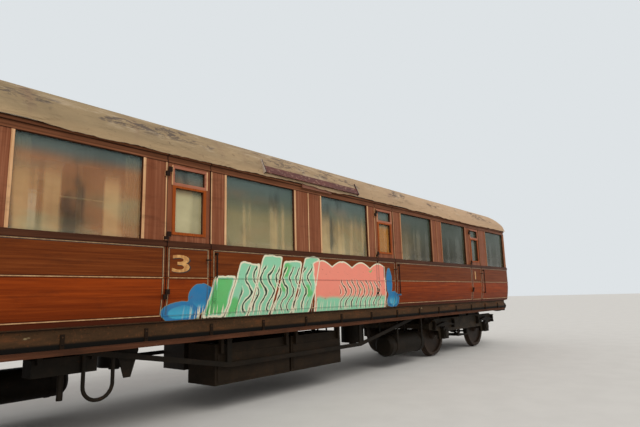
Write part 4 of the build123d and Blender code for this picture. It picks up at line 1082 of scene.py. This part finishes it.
def benches():
    """Seat and back cushions of both facing benches of each compartment, with their piping."""
    forms = (("seat", stuffed("seat_shape", SEAT, 2), SEAT, 2, SEAT_FOOT),
             ("seat_back", stuffed("back_shape", BACK, 0), BACK, 0, BACK_FOOT))
    middle_y = sum(ROOM_SIDES) / 2
    for cls, sign in (("third", -1), ("first", 1)):
        piping = Stack()
        for number, (a, b) in enumerate(ROOMS, start=1):
            centre, half = sign * (a + b) / 2, (b - a - 0.03) / 2
            for end, tag in ((-1, "low"), (1, "high")):
                wall = centre + end * (half - 0.0003)
                turn = Matrix.Rotation(pi if end > 0 else 0, 4, "Z")
                for form, shape, size, crown, foot in forms:
                    place = (wall - end * size.x / 2, middle_y, foot + size.z / 2 + RAIL)
                    put = Matrix.Translation(place) @ turn
                    data = shape.copy()
                    data.transform(put)
                    data.materials.clear()
                    data.materials.append(MATERIAL[f"{cls}_cloth"])
                    data.shade_smooth()
                    piece = placed(f"{form}_{cls}_{number}_{tag}", data, "coach_body")
                    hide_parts(f"seats_{cls}")
                    seam(piping, shape, size, crown, put)
        piping.finish(f"piping_{cls}", f"{cls}_cloth", "coach_body", smooth=True)


benches()


# Bellows of the gangways


def bellows(place, sign):
    """Pleated cloth round the passage, between the end wall and the face plate."""
    start, length, pleats = 9.3855, 0.196, 6
    half, foot, head, corner = 0.4485, 1.2415, 3.2935, 0.10
    steps = pleats * 12
    rows = []
    for i in range(steps + 1):
        t = i / steps
        inset = 0.5 - 0.5 * cos(2 * pi * pleats * t)
        low, high = foot + 0.044 * inset, head - 0.078 * inset
        ring = rounded(half - 0.078 * inset, (high - low) / 2, corner - 0.04 * inset, 8, (high + low) / 2)
        rows.append([(sign * (start + length * t), y, h + RAIL) for y, h in ring])
    verts = [point for ring in rows for point in ring]
    n = len(rows[0])
    faces = [(r * n + k, r * n + (k + 1) % n, (r + 1) * n + (k + 1) % n, (r + 1) * n + k)
             for r in range(steps) for k in range(n)]
    piece = made(f"bellows_{place}", verts, faces, "bellows_cloth", "coach_body", smooth=True)
    thick = piece.modifiers.new("thick", "SOLIDIFY")
    thick.thickness, thick.offset = 0.002, 0
    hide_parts("gangway_bellows")


bellows("first", 1)
bellows("third", -1)


# Floor, light and background


def stage():
    """A pale floor, soft plain light and a pale background."""
    g = material("studio_floor")
    speck = g.spots((2, 2, 2), 0.3, 0.7, detail=3)
    finish(g, g.mix(speck, rgb(206, 206, 204), rgb(210, 210, 208)), 0.9, gloss=0.1)
    mesh = bpy.data.meshes.new("floor_plane")
    corners = [(160 * x, 160 * y, 0) for x, y in ((-1, -1), (1, -1), (1, 1), (-1, 1))]
    mesh.from_pydata(corners, [], [(0, 1, 2, 3)])
    mesh.materials.append(g.made)
    placed("floor_plane", mesh)

    world = bpy.data.worlds.new("studio")
    bpy.context.scene.world = world
    world.use_nodes = True
    tree = world.node_tree
    tree.nodes.clear()
    light, seen = tree.nodes.new("ShaderNodeBackground"), tree.nodes.new("ShaderNodeBackground")
    light.inputs[0].default_value, light.inputs[1].default_value = (1.0, 0.97, 0.94, 1), 0.72
    seen.inputs[0].default_value, seen.inputs[1].default_value = rgb(222, 227, 230), 1.0
    path = tree.nodes.new("ShaderNodeLightPath").outputs
    share = path["Is Camera Ray"]
    for ray in ("Is Glossy Ray", "Is Transmission Ray"):
        either = tree.nodes.new("ShaderNodeMath")
        either.operation = "MAXIMUM"
        tree.links.new(share, either.inputs[0])
        tree.links.new(path[ray], either.inputs[1])
        share = either.outputs[0]
    mix, output = tree.nodes.new("ShaderNodeMixShader"), tree.nodes.new("ShaderNodeOutputWorld")
    for source, socket in zip((share, light.outputs[0], seen.outputs[0]), mix.inputs):
        tree.links.new(source, socket)
    tree.links.new(mix.outputs[0], output.inputs[0])

    sun = bpy.data.lights.new("soft_key", "SUN")
    sun.energy, sun.angle, sun.color = 1.35, radians(38), (1.0, 0.95, 0.88)
    placed("soft_key", sun).rotation_euler = (radians(48), 0, radians(-28))
    bpy.context.scene.view_settings.view_transform = "Standard"


stage()
